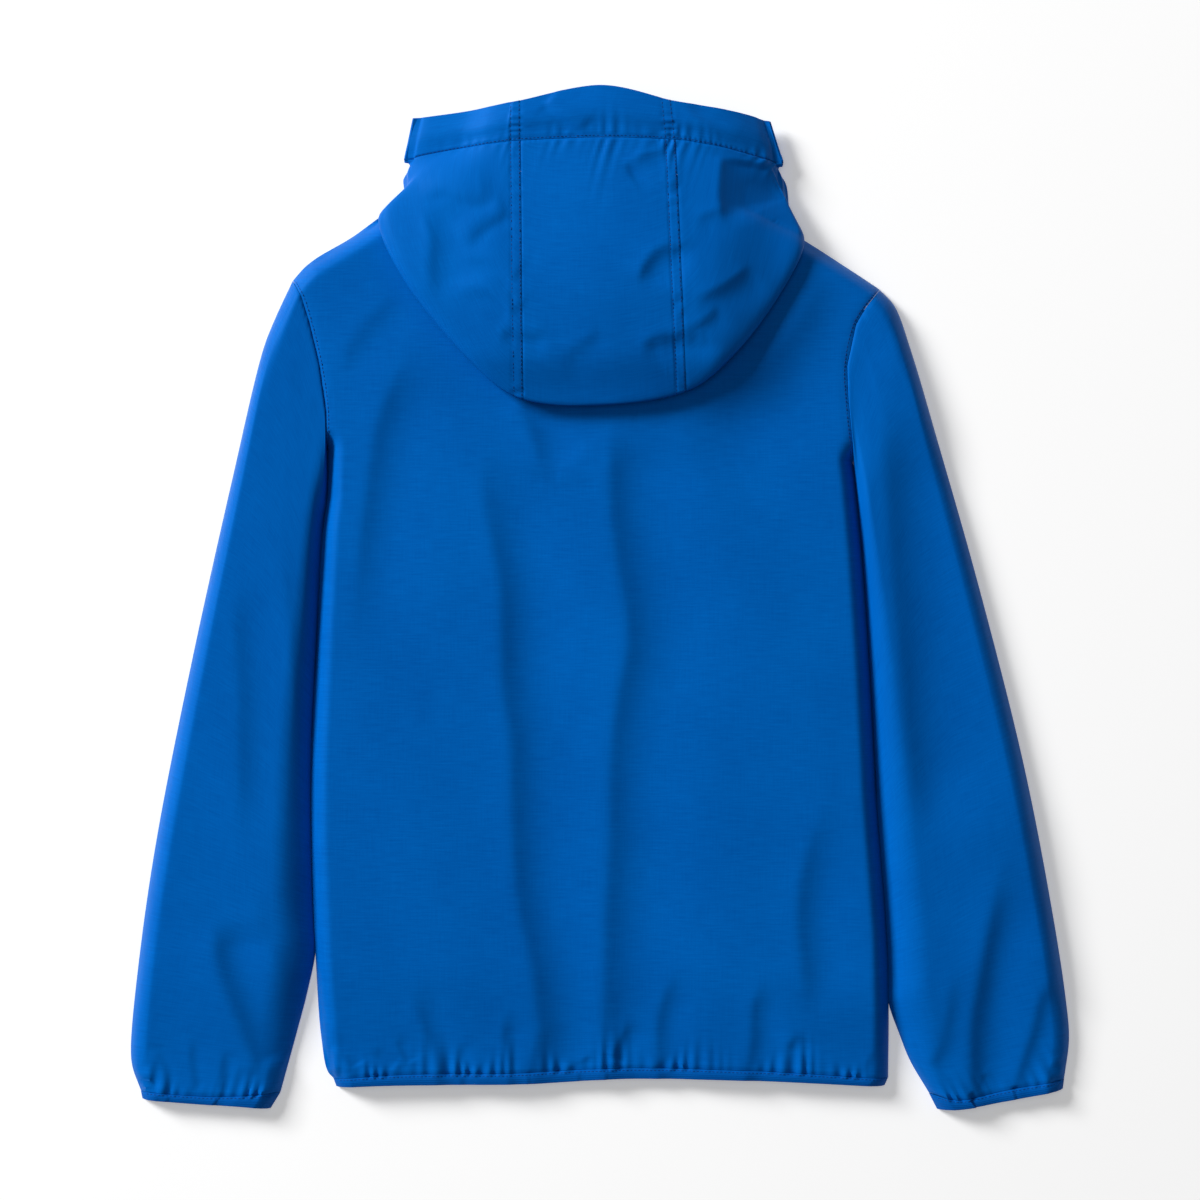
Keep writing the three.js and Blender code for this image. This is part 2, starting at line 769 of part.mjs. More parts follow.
function backPanel() {
  const patch = patchOf(backSide("left"), backSide("right"), curveThrough(HEM), TOP_CURVE);
  const seamLength = SIDE_SEAM.left.at(-1).y - HEM[0].y;
  const columns = stepsAcross(HEM.at(-1).x - HEM[0].x, EDGE_COLUMNS, BACK_COLUMNS);
  const gathered = GATHER_ROWS.map((y) => (UNDERARM * y) / seamLength);
  const plain = [];
  const armholeRows = ARMHOLE.left.length - 1;
  for (let i = 0; i < armholeRows; i++) plain.push(lerp(1, UNDERARM, i / armholeRows));
  for (let i = 0; i < BACK_ROWS; i++) plain.push(lerp(UNDERARM, gathered.at(-1), i / BACK_ROWS));
  const rowOf = (u, steps, depth) => {
    const row = { outer: [], inner: [] };
    steps.forEach((v, j) => {
      const { x, y } = patch(u, v);
      const atEdge = Math.min(j, steps.length - 1 - j) < EDGE_COLUMNS.length;
      const gather = atEdge ? 0 : pucker(j, depth);
      row.outer.push(new THREE.Vector3(x, y, backHeight(x, y) + gather));
      row.inner.push(new THREE.Vector3(x, y, underBack(x, y) + gather));
    });
    return row;
  };
  const rows = [
    ...plain.map((u) => rowOf(u, columns, 0)),
    ...reversed(gathered).map((u, i) => {
      return rowOf(u, doubled(columns), (GATHER_DEPTH * (i + 1)) / gathered.length);
    }),
  ];
  const [outer, inner] = [rows.map((row) => row.outer), rows.map((row) => row.inner)];
  return clothMesh("back", wallGeometry(outer, inner));
}

// Sleeves and bindings are rings: flat below, arched above and rounded at both edges
const EDGE_FLAT = 1; // how far in from its edge a ring leaves the surface

function ringSection({ at, height, width, wall, top, under, gather = 0 }) {
  const section = { outer: [], inner: [] };
  const add = (loop, v, z) => {
    const { x, y } = at(v);
    section[loop].push(new THREE.Vector3(x, y, z));
  };
  const inset = (v) => lerp(wall / width, 1 - wall / width, v);
  const flat = EDGE_FLAT / width;
  const base = [flat, ...under, 1 - flat];
  add("outer", 0, EDGE_HEIGHT / 2);
  add("inner", inset(0), wall + 0.3);
  base.forEach((v) => {
    add("outer", v, 0);
    add("inner", inset(v), wall);
  });
  add("outer", 1, EDGE_HEIGHT / 2);
  add("inner", inset(1), wall + 0.3);
  reversed(top).forEach((v, j) => {
    const step = 0.5 / width;
    const slope = (height(v + step) - height(v - step)) / (2 * step * width);
    const z = height(v) + pucker(j, gather);
    add("outer", v, z);
    add("inner", inset(v), Math.max(z - wall * Math.hypot(1, slope), wall + 0.6));
  });
  return section;
}

function ringMesh(name, sections, color) {
  const [outer, inner] = [sections.map((s) => s.outer), sections.map((s) => s.inner)];
  return clothMesh(name, wallGeometry(outer, inner, true), color);
}

const SLEEVE_RINGS = 22;
const SLEEVE_CLEAR = 0.8; // from the body's side edge
const SLEEVE_MIDDLE = 9; // steps over a sleeve between those beside its edges
const SLEEVE_EDGE = [3, 8, 16];
const TOP_PER_ROW = 3; // steps of the sleeve's first ring to each row of the armhole

function sleevePatch(side) {
  const { sign, free, outer, cuff } = SLEEVE[side];
  const seam = sampled(curveThrough(SIDE_SEAM[side]), EDGE_POINTS);
  const beside = movedOut(seam, SLEEVE_CLEAR, sign).filter(({ y }) => y > free[0].y + 15);
  const armhole = movedOut(ARMHOLE[side], SEAM_GAP, sign);
  const inner = [armhole[0], ...reversed(beside).slice(1), ...free];
  const [a, b] = [curveThrough(inner), curveThrough([armhole.at(-1), ...outer])];
  return patchOf(a, b, straightThrough(armhole), curveThrough(cuff));
}

function sleeveHeight(side, u, v, width, point, seamPoint) {
  const { innerRound } = SLEEVE[side];
  const loft = lerp(SLEEVE_LOFT, CUFF_LOFT, smoothstep(u, 0.82, 1));
  const arch = rise(v * width, innerRound) * rise((1 - v) * width, EDGE_ROUND);
  const own = EDGE_HEIGHT + (loft - troughs(point.x, point.y, SLEEVE_FOLDS[side])) * arch;
  return lerp(backHeight(seamPoint.x, seamPoint.y), own, smoothstep(u, 0, 0.16));
}

function sleeve(side) {
  const patch = sleevePatch(side);
  const rows = ARMHOLE[side].length - 1;
  const [seamTop, seamUnder] = [shares(rows * TOP_PER_ROW), shares(rows)];
  const ringAt = (u, gather) => {
    const width = patch(u, 0).distanceTo(patch(u, 1));
    const at = (v) => patch(u, v);
    const height = (v) => sleeveHeight(side, u, v, width, at(v), patch(0, v));
    const own = smoothstep(u, 0, 0.2);
    const top = stepsAcross(width, SLEEVE_EDGE, SLEEVE_MIDDLE).map((v, i) => lerp(seamTop[i], v, own));
    return ringSection({ at, height, width, wall: CLOTH, top, under: seamUnder, gather });
  };
  const sections = [];
  for (let i = 0; i < SLEEVE_RINGS; i++) sections.push(ringAt(i / SLEEVE_RINGS, 0));
  sections.push(ringAt(1, GATHER_DEPTH));
  return ringMesh("sleeve_" + side, sections, NYLON_BLUE);
}

// Bindings of elastic tape, below the hem and the cuffs
const HEM_MIDDLE = 26;
const CUFF_MIDDLE = 13;
const BINDING_ROWS = 2;

function binding(name, topRows, bottomRows, loft, count, underSteps) {
  const [topEdge, bottomEdge] = [curveThrough(topRows), curveThrough(bottomRows)];
  const sections = [];
  for (let i = 0; i <= BINDING_ROWS; i++) {
    const at = (v) => {
      const [from, to] = [topEdge(v), bottomEdge(v)];
      from.y -= SEAM_GAP;
      return from.lerp(to, i / BINDING_ROWS);
    };
    const width = at(0).distanceTo(at(1));
    const bulge = 0.6 * Math.sin((Math.PI * i) / BINDING_ROWS);
    const height = (v) => {
      const arch = rise(v * width, EDGE_ROUND) * rise((1 - v) * width, EDGE_ROUND);
      return EDGE_HEIGHT + 0.6 + bulge + loft * arch;
    };
    const top = stepsAcross(width, SLEEVE_EDGE, count);
    const under = shares(underSteps);
    sections.push(ringSection({ at, height, width, wall: BINDING_WALL, top, under, gather: 0.5 }));
  }
  return ringMesh(name, sections, BINDING_BLUE);
}

function cuffBinding(side) {
  const { cuff, cuffBottom } = SLEEVE[side];
  const underSteps = ARMHOLE[side].length - 1;
  return binding("cuff_binding_" + side, cuff, cuffBottom, CUFF_LOFT, CUFF_MIDDLE, underSteps);
}

// The garment
const anorak = new THREE.Group();
anorak.add(frontPanel(), backPanel(), sleeve("left"), sleeve("right"), ...hood());
anorak.add(binding("hem_binding", HEM, HEM_BOTTOM, HEM_LOFT, HEM_MIDDLE, EDGE_POINTS));
anorak.add(cuffBinding("left"), cuffBinding("right"));

export default anorak;
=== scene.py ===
# Anorak pullover of blue nylon taffeta, laid out flat on its front with its back and hood uppermost.
# Sizes are in millimetres until a mesh is made. +Y runs from hem to hood, -X is the wearer's left.
import math

import bpy
import numpy as np
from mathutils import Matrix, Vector


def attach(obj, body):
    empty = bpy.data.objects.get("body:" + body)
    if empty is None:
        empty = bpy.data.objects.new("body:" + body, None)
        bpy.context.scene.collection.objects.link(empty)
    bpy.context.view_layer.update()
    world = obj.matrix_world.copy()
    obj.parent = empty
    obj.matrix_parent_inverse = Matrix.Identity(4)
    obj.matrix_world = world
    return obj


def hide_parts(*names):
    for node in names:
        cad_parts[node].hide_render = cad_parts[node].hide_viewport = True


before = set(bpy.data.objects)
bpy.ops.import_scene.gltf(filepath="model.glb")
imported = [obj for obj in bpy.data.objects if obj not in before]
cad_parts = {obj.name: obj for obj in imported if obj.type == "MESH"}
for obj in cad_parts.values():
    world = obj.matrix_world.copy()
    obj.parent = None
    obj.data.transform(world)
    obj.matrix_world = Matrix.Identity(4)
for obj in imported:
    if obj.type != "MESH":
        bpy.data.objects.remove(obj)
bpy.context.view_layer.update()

# Front panel: one piece of plain-woven nylon taffeta, cut with a low neck, and lying face down on
# the surface. Its side seams, armholes and shoulders are the back panel's too.
CLOTH = 0.8  # the wall that stands for cloth of 0.2 mm
FRONT_CLOTH = 1.2
SEAM_GAP = 0.3
SIDE_SEAM = {
    "left": [(-203.7, -364.8), (-208, -359.5), (-212.5, -336), (-216.6, -282), (-220.4, -185),
             (-220.4, -123), (-216.4, -33), (-211.7, 55), (-208.6, 78), (-208.2, 117)],
    "right": [(220, -364.5), (220.4, -310), (218.9, -255), (211.3, -153), (206.4, -57),
              (200.3, 36), (195.3, 90), (193, 106)],
}
ARMHOLE = {
    "left": [(-208.2, 117), (-208.1, 144), (-213.2, 180), (-220.7, 211), (-227, 231), (-234.5, 244)],
    "right": [(193, 106), (188.5, 153), (187.7, 178), (194.6, 210), (202.2, 223), (213.6, 237)],
}
SHOULDER = {
    "left": [(-234.5, 244), (-221.9, 257), (-190.8, 276), (-148.5, 303), (-110, 309), (-80, 306)],
    "right": [(213.6, 237), (187, 254.6), (148.2, 279), (110, 298.5), (80, 301.5)],
}
HEM = [(-203.7, -364.8), (-150.5, -361), (-65, -360), (15, -356.4), (127, -358.7), (220, -364.5)]
FRONT_NECK = [(-80, 306), (-67, 285), (-41, 263), (0, 251), (41, 262), (67, 283), (80, 301.5)]
UNDERARM = 0.77  # the side seam's share of a panel's side
SHARPEST = 50  # the angle in degrees past which two faces meet in a sharp edge


def smooth_path(rows, steps=16):
    """A smooth path through rows of points"""
    p = np.array(rows, float)
    p = np.vstack([2 * p[0] - p[1], p, 2 * p[-1] - p[-2]])
    t = np.linspace(0, 1, steps, endpoint=False)[:, None]
    parts = []
    for a, b, c, d in zip(p, p[1:], p[2:], p[3:]):
        ab, bc, cd = (math.sqrt(math.dist(m, n)) for m, n in ((a, b), (b, c), (c, d)))
        start = ((b - a) / ab - (c - a) / (ab + bc) + (c - b) / bc) * bc
        end = ((c - b) / bc - (d - b) / (bc + cd) + (d - c) / cd) * bc
        parts.append(b + start * t + (3 * (c - b) - 2 * start - end) * t**2
                     + (2 * (b - c) + start + end) * t**3)
    return np.vstack(parts + [p[-2:-1]])


def along(path, shares):
    """The points at shares of the length of a path"""
    way = np.concatenate([[0], np.cumsum(np.hypot(*np.diff(path[:, :2], axis=0).T))])
    return np.stack([np.interp(np.asarray(shares) * way[-1], way, k) for k in path.T], -1)


def by_rows(path, shares):
    """The points at shares of the way along a path, with each of its rows the same share"""
    path = np.array(path, float)
    places = np.linspace(0, 1, len(path))
    return np.stack([np.interp(shares, places, k) for k in path.T], -1)


def patch(side_a, side_b, start, end, u, v):
    """Points in the plan between four edges: u runs along the two sides, v from side to side"""
    a, b, s, e = side_a(u)[:, None], side_b(u)[:, None], start(v)[None], end(v)[None]
    (s0, s1), (e0, e1) = start(np.array([0.0, 1.0])), end(np.array([0.0, 1.0]))
    u, v = u[:, None, None], v[None, :, None]
    corners = (1 - u) * ((1 - v) * s0 + v * s1) + u * ((1 - v) * e0 + v * e1)
    return (1 - v) * a + v * b + (1 - u) * s + u * e - corners


def panel_side(side):
    """One side of both panels: the side seam and then the armhole"""
    seam = smooth_path(SIDE_SEAM[side])

    def at(u):
        armhole = by_rows(ARMHOLE[side], np.clip((u - UNDERARM) / (1 - UNDERARM), 0, 1))
        return np.where((u < UNDERARM)[:, None], along(seam, np.minimum(u / UNDERARM, 1)), armhole)
    return at


def on(rows):
    """A function that gives the points at shares of a smooth path's length"""
    path = smooth_path(rows)
    return lambda shares: along(path, shares)


def wall(name, outer, inner, uv, ring=False):
    """A closed wall of cloth between two grids of points, with its UV map in metres of cloth"""
    rows, columns = outer.shape[:2]
    points = np.concatenate([outer.reshape(-1, 3), inner.reshape(-1, 3)]) * 0.001
    numbers = np.arange(rows * columns).reshape(rows, columns)
    inside = numbers + rows * columns
    if ring:
        numbers, inside, uv = (np.concatenate([g, g[:, :1]], 1) for g in (numbers, inside, uv))
        uv = uv.copy()
        uv[:, -1, 0] = 2 * uv[:, -2, 0] - uv[:, -3, 0]
    coords = np.concatenate([uv.reshape(-1, 2)] * 2) * 0.001
    local = np.arange(numbers.size).reshape(numbers.shape)
    quads, corners = [], []

    def add(grid, spots):
        for g, store in ((grid, quads), (spots, corners)):
            store.append(np.stack([g[:-1, :-1], g[:-1, 1:], g[1:, 1:], g[1:, :-1]], -1).reshape(-1, 4))

    add(numbers, local)
    add(inside[:, ::-1], (local + local.size)[:, ::-1])
    edges = [((0, slice(None)), True), ((-1, slice(None)), False)]
    if not ring:
        edges += [((slice(None), 0), False), ((slice(None), -1), True)]
    for edge, turned in edges:
        pair = np.stack([numbers[edge], inside[edge]][:: 1 if turned else -1])
        spots = np.stack([local[edge], local[edge]])
        add(pair[:, ::-1], spots[:, ::-1])
    quads, corners = np.concatenate(quads), np.concatenate(corners)
    a, b, c, d = (points[quads[:, k]] for k in range(4))
    if np.einsum("ij,ij->i", a, np.cross(b - a, c - a) + np.cross(c - a, d - a)).sum() < 0:
        quads, corners = quads[:, ::-1], corners[:, ::-1]
    mesh = bpy.data.meshes.new(name)
    mesh.from_pydata(points.tolist(), [], quads.tolist())
    mesh.uv_layers.new(name="cloth").data.foreach_set("uv", coords[corners.reshape(-1)].ravel())
    mesh.shade_smooth()
    mesh.set_sharp_from_angle(angle=math.radians(SHARPEST))
    made = bpy.data.objects.new(name, mesh)
    bpy.context.collection.objects.link(made)
    return made


def colour(code):
    """The linear colour of an sRGB hex value"""
    channels = (int(code[i:i + 2], 16) / 255 for i in (1, 3, 5))
    return (*(c / 12.92 if c <= 0.04045 else ((c + 0.055) / 1.055) ** 2.4 for c in channels), 1)


def node(material, kind, settings=(), **inputs):
    """Adds a node with its settings, and its inputs as values or links"""
    made = material.node_tree.nodes.new(kind)
    for key, value in dict(settings).items():
        setattr(made, key, value)
    for key, value in inputs.items():
        socket = made.inputs[int(key[1:])] if key[1:].isdigit() else made.inputs[key.replace("_", " ")]
        if isinstance(value, bpy.types.NodeSocket):
            material.node_tree.links.new(value, socket)
        else:
            socket.default_value = value
    return made


WEFT_PER_METRE = (55, 900, 1)
WARP_PER_METRE = (1100, 40, 1)
DYE_PLACES = (0.34, 0.66)
GLOSS = (0.42, 0.56)  # the least and greatest roughness


def woven_nylon():
    """Nylon 6 taffeta, plain-woven from bright filament yarn and calendered on its right side: a deep
    blue with a broad soft gloss, a cyan cast where it turns from the eye, and uneven yarns that show
    as fine streaks. The yarns are 0.2 mm apart, too fine to show, so the streaks are drawn 1 mm wide
    and about 20 mm long. The dye varies over 110 mm."""
    made = bpy.data.materials.new("woven nylon taffeta")
    made.use_nodes = True
    shader = made.node_tree.nodes["Principled BSDF"]
    links = made.node_tree.links
    uv = node(made, "ShaderNodeUVMap", {"uv_map": "cloth"}).outputs["UV"]
    weft = node(made, "ShaderNodeMapping", Vector=uv, Scale=WEFT_PER_METRE).outputs["Vector"]
    warp = node(made, "ShaderNodeMapping", Vector=uv, Scale=WARP_PER_METRE).outputs["Vector"]
    slub = node(made, "ShaderNodeTexNoise", Vector=weft, Scale=1.0, Detail=3.0, Roughness=0.6)
    thread = node(made, "ShaderNodeTexNoise", Vector=warp, Scale=1.0, Detail=2.0, Roughness=0.6)
    dye = node(made, "ShaderNodeTexNoise", Vector=uv, Scale=9.0, Detail=3.0, Roughness=0.5)
    yarns = node(made, "ShaderNodeMath", {"operation": "MULTIPLY_ADD"}, i0=slub.outputs["Fac"], i1=0.7)
    links.new(node(made, "ShaderNodeMath", {"operation": "MULTIPLY"}, i0=thread.outputs["Fac"],
                   i1=0.3).outputs[0], yarns.inputs[2])
    tone = node(made, "ShaderNodeMath", {"operation": "MULTIPLY_ADD"}, i0=dye.outputs["Fac"], i1=0.35)
    links.new(node(made, "ShaderNodeMath", {"operation": "MULTIPLY"}, i0=yarns.outputs[0],
                   i1=0.65).outputs[0], tone.inputs[2])
    ramp = node(made, "ShaderNodeValToRGB", i0=tone.outputs[0])
    for stop, place, code in zip(ramp.color_ramp.elements, DYE_PLACES, ("#0057ad", "#0068c4")):
        stop.position, stop.color = place, colour(code)
    links.new(ramp.outputs["Color"], shader.inputs["Base Color"])
    bump = node(made, "ShaderNodeBump", Height=yarns.outputs[0], Strength=0.35, Distance=0.00012)
    links.new(bump.outputs["Normal"], shader.inputs["Normal"])
    rough = node(made, "ShaderNodeMapRange", Value=slub.outputs["Fac"])
    rough.inputs["To Min"].default_value, rough.inputs["To Max"].default_value = GLOSS
    links.new(rough.outputs[0], shader.inputs["Roughness"])
    shader.inputs["IOR"].default_value = 1.53
    shader.inputs["Specular IOR Level"].default_value = 0.14
    shader.inputs["Specular Tint"].default_value = colour("#2f9bff")
    shader.inputs["Sheen Weight"].default_value = 0.08
    shader.inputs["Sheen Roughness"].default_value = 0.35
    shader.inputs["Sheen Tint"].default_value = colour("#0aa0d8")
    return made


nylon = woven_nylon()
u, v = np.linspace(0, 1, 130), np.linspace(0, 1, 90)
front_top = on(SHOULDER["left"] + FRONT_NECK[1:-1] + SHOULDER["right"][::-1])
flat = patch(panel_side("left"), panel_side("right"), on(HEM), front_top, u, v)
front = wall("front_panel", np.dstack([flat, np.full(flat.shape[:2], FRONT_CLOTH)]),
             np.dstack([flat, np.zeros(flat.shape[:2])]), flat)
front.data.materials.append(nylon)
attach(front, "root")
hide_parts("front")

# Back panel: one piece of the same taffeta from hem to shoulders and back neck, over the front. It
# lies in soft folds that fall from the hood and shoulders, and the elastic hem gathers it.
BODY_LOFT = 15  # how far the cloth rises above its edges, and at the hem
HEM_LOFT = 10
HEM_FALL = 90  # how far above the hem the body begins to sink to it
EDGE_ROUND = 14
EDGE_HEIGHT = 2.7
GATHER_SIZE = 1.5
GATHER_START = 12  # how far inside a side seam the gathers reach their full height
TAPE_DIP, TAPE_DIP_WIDTH = 0.7, 1.5
SEAM_DIP, SEAM_DIP_WIDTH = 0.7, 1.3
SEAM_SLOPE, SEAM_SLOPE_WIDTH = 0.45, 4.5
NEAR_HEM = 0.045  # the share of the panel above the hem that has closer rows of points, for the gathers
BACK_NECK = [(-80, 306), (-40, 297), (0, 294), (40, 295), (80, 301.5)]
# Each fold falls by a drop towards the left of its path, at a slope of a width, and comes up again over
# a longer way. Then the shares of the path over which it fades in and out, and the path. A negative
# drop makes a sharp valley of the path and a long slope down to it.
BACK_FOLDS = [
    (6.0, 12, 70, 0.3, 0.3, [(176, 266), (152, 215), (124, 180), (92, 156), (50, 136)]),
    (3.0, 8, 22, 0.3, 0.3, [(-150, 239), (-180, 208), (-194, 185), (-195, 163)]),
    (4.6, 9, 40, 0.2, 0.5, [(-141, 192), (-155, 169), (-168, 138), (-176, 91), (-182, 43), (-185, 5),
                             (-191, -49)]),
    (6.8, 10, 48, 0.2, 0.0, [(-78, 129), (-88, 107), (-88, 74), (-82, 43), (-76, 12), (-75, -34),
                             (-74, -65), (-68, -107), (-67, -154), (-65, -201), (-61, -239),
                             (-52, -278), (-48, -312), (-46, -324), (-54, -357)]),
    (5.0, 8, 26, 0.1, 0.5, [(-64, 152), (-55, 133), (-42, 98), (-30, 84)]),
    (6.6, 10, 56, 0.1, 0.0, [(10, 143), (8, 113), (8, 74), (13, 28), (19, -3), (21, -34), (13, -76),
                             (8, -123), (7, -185), (4, -247), (3, -302), (2, -337), (4, -354)]),
    (5.6, 9, 36, 0.5, 0.25, [(186, -140), (171, -157), (159, -185), (152, -216), (150, -247),
                             (154, -284), (158, -322)]),
    (3.0, 5, 14, 0.3, 0.3, [(151, -327), (141, -342)]),
    (3.8, 6, 20, 0.4, 0.0, [(61, -277), (48, -302), (43, -328), (44, -351), (45, -359)]),
    (3.8, 6, 20, 0.4, 0.0, [(127, -284), (116, -307), (115, -331), (112, -354), (112, -360)]),
    (3.6, 6, 18, 0.4, 0.0, [(-148, -296), (-137, -318), (-128, -345), (-125, -360)]),
    (3.4, 5, 14, 0.4, 0.0, [(-68, -311), (-74, -327), (-71, -345), (-70, -360)]),
    (2.8, 4, 13, 0.3, 0.1, [(21, -319), (15, -335), (8, -349)]),
    (2.2, 3, 10, 0.2, 0.1, [(-208, -342), (-198, -345), (-189, -358)]),
    (1.8, 2.5, 8, 0.4, 0.1, [(-176, -347), (-158, -359)]),
    (1.8, 2.5, 8, 0.4, 0.1, [(-158, -333), (-147, -354)]),
    (2.0, 2.5, 8, 0.4, 0.0, [(-109, -336), (-107, -360)]),
    (1.8, 2.5, 8, 0.4, 0.1, [(-5, -345), (-19, -353)]),
    (1.4, 3, 8, 0.4, 0.1, [(208, -340), (198, -361)]),
    (1.2, 1.4, 4, 0.1, 0.2, [(25, 152), (24, 138)]),
]
LOW_EDGES = [np.array(rows) for side in ("left", "right") for rows in (SIDE_SEAM[side], SHOULDER[side])]


def nearest(path, x, y):
    """The distance of points from a path, positive to its right, and the share of its length there"""
    best, beside, share = np.full(x.shape, np.inf), np.zeros(x.shape), np.zeros(x.shape)
    way = np.concatenate([[0], np.cumsum(np.hypot(*np.diff(path, axis=0).T))])
    for (ax, ay), (bx, by), start, end in zip(path, path[1:], way, way[1:]):
        dx, dy = bx - ax, by - ay
        t = np.clip(((x - ax) * dx + (y - ay) * dy) / (dx * dx + dy * dy), 0, 1)
        px, py = x - ax - t * dx, y - ay - t * dy
        d = np.hypot(px, py)
        closer = d < best
        best[closer] = d[closer]
        beside[closer] = np.where(px * dy - py * dx >= 0, d, -d)[closer]
        share[closer] = (start + t * (end - start))[closer] / way[-1]
    return beside, share


def eased(t, start, end):
    """A smooth step from 0 at the start to 1 at the end"""
    t = np.clip((t - start) / (end - start), 0, 1)
    return t * t * (3 - 2 * t)


def creases(folds, x, y, soft=0.5):
    """How far folds lower the cloth, each falling from a low ridge along its path that is rounded
    over a share "soft" of its width"""
    depth = np.zeros(x.shape)
    for drop, width, recovery, fade_in, fade_out, rows in folds:
        path = smooth_path(rows, 4)
        reach = 2.5 * recovery
        near = abs(x - (path[:, 0].min() + path[:, 0].max()) / 2) < np.ptp(path[:, 0]) / 2 + reach
        near &= abs(y - (path[:, 1].min() + path[:, 1].max()) / 2) < np.ptp(path[:, 1]) / 2 + reach
        if not near.any():
            continue
        beside, share = nearest(path, x[near], y[near])
        fade = eased(share, -0.001, fade_in) * eased(1 - share, -0.001, fade_out)
        rounded = np.sqrt(beside**2 + (soft * width) ** 2)
        left = (rounded - beside) / 2
        fall = (1 - np.exp(-left / (2 * width))) * np.exp(-((left / recovery) ** 2))
        ridge = 0.3 * np.exp(-rounded / (1.5 * width))
        depth[near] += drop * (fall - ridge) * fade
    return depth


def rise(distance, width):
    """The round rise of cloth from 0 at its edge to 1 at a width inside it"""
    return 1 - (1 - np.clip(distance / width, 0, 1)) ** 2


def body_height(x, y, depth):
    """The height of the back, lowered by a depth"""
    edge = np.min([abs(nearest(path, x, y)[0]) for path in LOW_EDGES], axis=0)
    loft = HEM_LOFT + (BODY_LOFT - HEM_LOFT) * eased(y - HEM[0][1], 0, HEM_FALL)
    return EDGE_HEIGHT + (loft - depth) * rise(edge, EDGE_ROUND)


def drape(x, y, size):
    """Slow uneven waves, as cloth lies by itself"""
    waves = np.sin(x / 31 + 0.7 * np.sin(y / 57)) + np.sin(x / 17.5 + y / 43 + 1.3) * 0.6
    return size * (waves + 0.8 * np.sin(y / 37 + x / 71 + 2.1 + 0.5 * np.sin(x / 23)))


def gathers(way, fall, size):
    """Uneven small pleats about 10 mm apart along "way", that die out over "fall" from the seam"""
    phase = way / 1.55 + 1.7 * np.sin(way / 13.7) + 1.1 * np.sin(way / 5.3 + 1)
    strength = 0.55 + 0.45 * np.sin(way / 9.1 + 2 * np.sin(way / 31))
    reach = 12 + 7 * np.sin(way / 11.3 + 0.5)
    return size * strength * np.sin(phase) * np.exp(-((fall / reach) ** 2))


def above_tape(way, fall):
    """The gathers above an elastic tape and the dip of its seam"""
    return gathers(way, fall, GATHER_SIZE) - TAPE_DIP * np.exp(-((fall / TAPE_DIP_WIDTH) ** 2))


def back_surface(x, y):
    """The height of the back with its folds, but without its seams and gathers"""
    return body_height(x, y, creases(BACK_FOLDS, x, y) - drape(x, y, 0.25))


def seam_valley(beside, way):
    """How far a plain seam draws the cloth down beside it, with small puckers"""
    pucker = 1 + 0.5 * np.sin(way / 1.1 + 1.5 * np.sin(way / 6))
    dip = SEAM_DIP * np.exp(-((beside / SEAM_DIP_WIDTH) ** 2))
    return dip + SEAM_SLOPE * pucker * np.exp(-((beside / SEAM_SLOPE_WIDTH) ** 2))


u = np.concatenate([np.linspace(0, NEAR_HEM, 24), np.linspace(NEAR_HEM, 1, 145)[1:]])
v = np.linspace(0, 1, 250)
top_edge = SHOULDER["left"] + BACK_NECK[1:-1] + SHOULDER["right"][::-1]
plan = patch(panel_side("left"), panel_side("right"), on(HEM), on(top_edge), u, v)
x, y = plan[..., 0], plan[..., 1]
fall = y - plan[:1, :, 1]
free = rise(np.minimum(x - x[:, :1], x[:, -1:] - x), GATHER_START)
height = back_surface(x, y) + above_tape(x, fall) * free
for side in ("left", "right"):
    height -= seam_valley(abs(nearest(np.array(ARMHOLE[side]), x, y)[0]), y)
inside = np.maximum(height - CLOTH, FRONT_CLOTH + SEAM_GAP)
back = wall("back_panel", np.dstack([plan, height]), np.dstack([plan, inside]), plan)
back.data.materials.append(nylon)
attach(back, "root")
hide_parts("back")

# Sleeves: each is one piece of the taffeta folded round to a tube and set into the armhole. It lies
# flat beside the body with its folds on top, and the cuff's elastic gathers its end.
SLEEVE_LOFT = 16
CUFF_LOFT = 9
SLEEVE_LENGTH = 615
SLEEVE_FOLD_DEPTH = 1.3  # what the drops of a sleeve's folds are multiplied by
INNER_ROUND = 34  # how wide a sleeve rises beside the body
SIDE_GAP = 0.4
SLEEVE_FREE = 15  # how far above the first point of its free edge a sleeve leaves the side seam
ARMHOLE_SHARE = 0.16  # over which a sleeve takes on its own height
CUFF_SHARE, CUFF_ROUND_SHARE = 0.82, 0.85  # from which it sinks to its cuff and loses its inner round
CUFF_GATHER_START = 8
SLEEVE_STEPS, SLEEVE_UNDER = 44, 14
SLEEVE_SHARES = np.concatenate([np.linspace(0, 0.02, 10), np.linspace(0.02, 0.93, 132)[1:],
                                np.linspace(0.93, 1, 26)[1:]])
BESIDE_EDGE = (2.5, 6, 12)  # where the points beside a tube's edges stand, above
UNDER_EDGE = 1  # and below
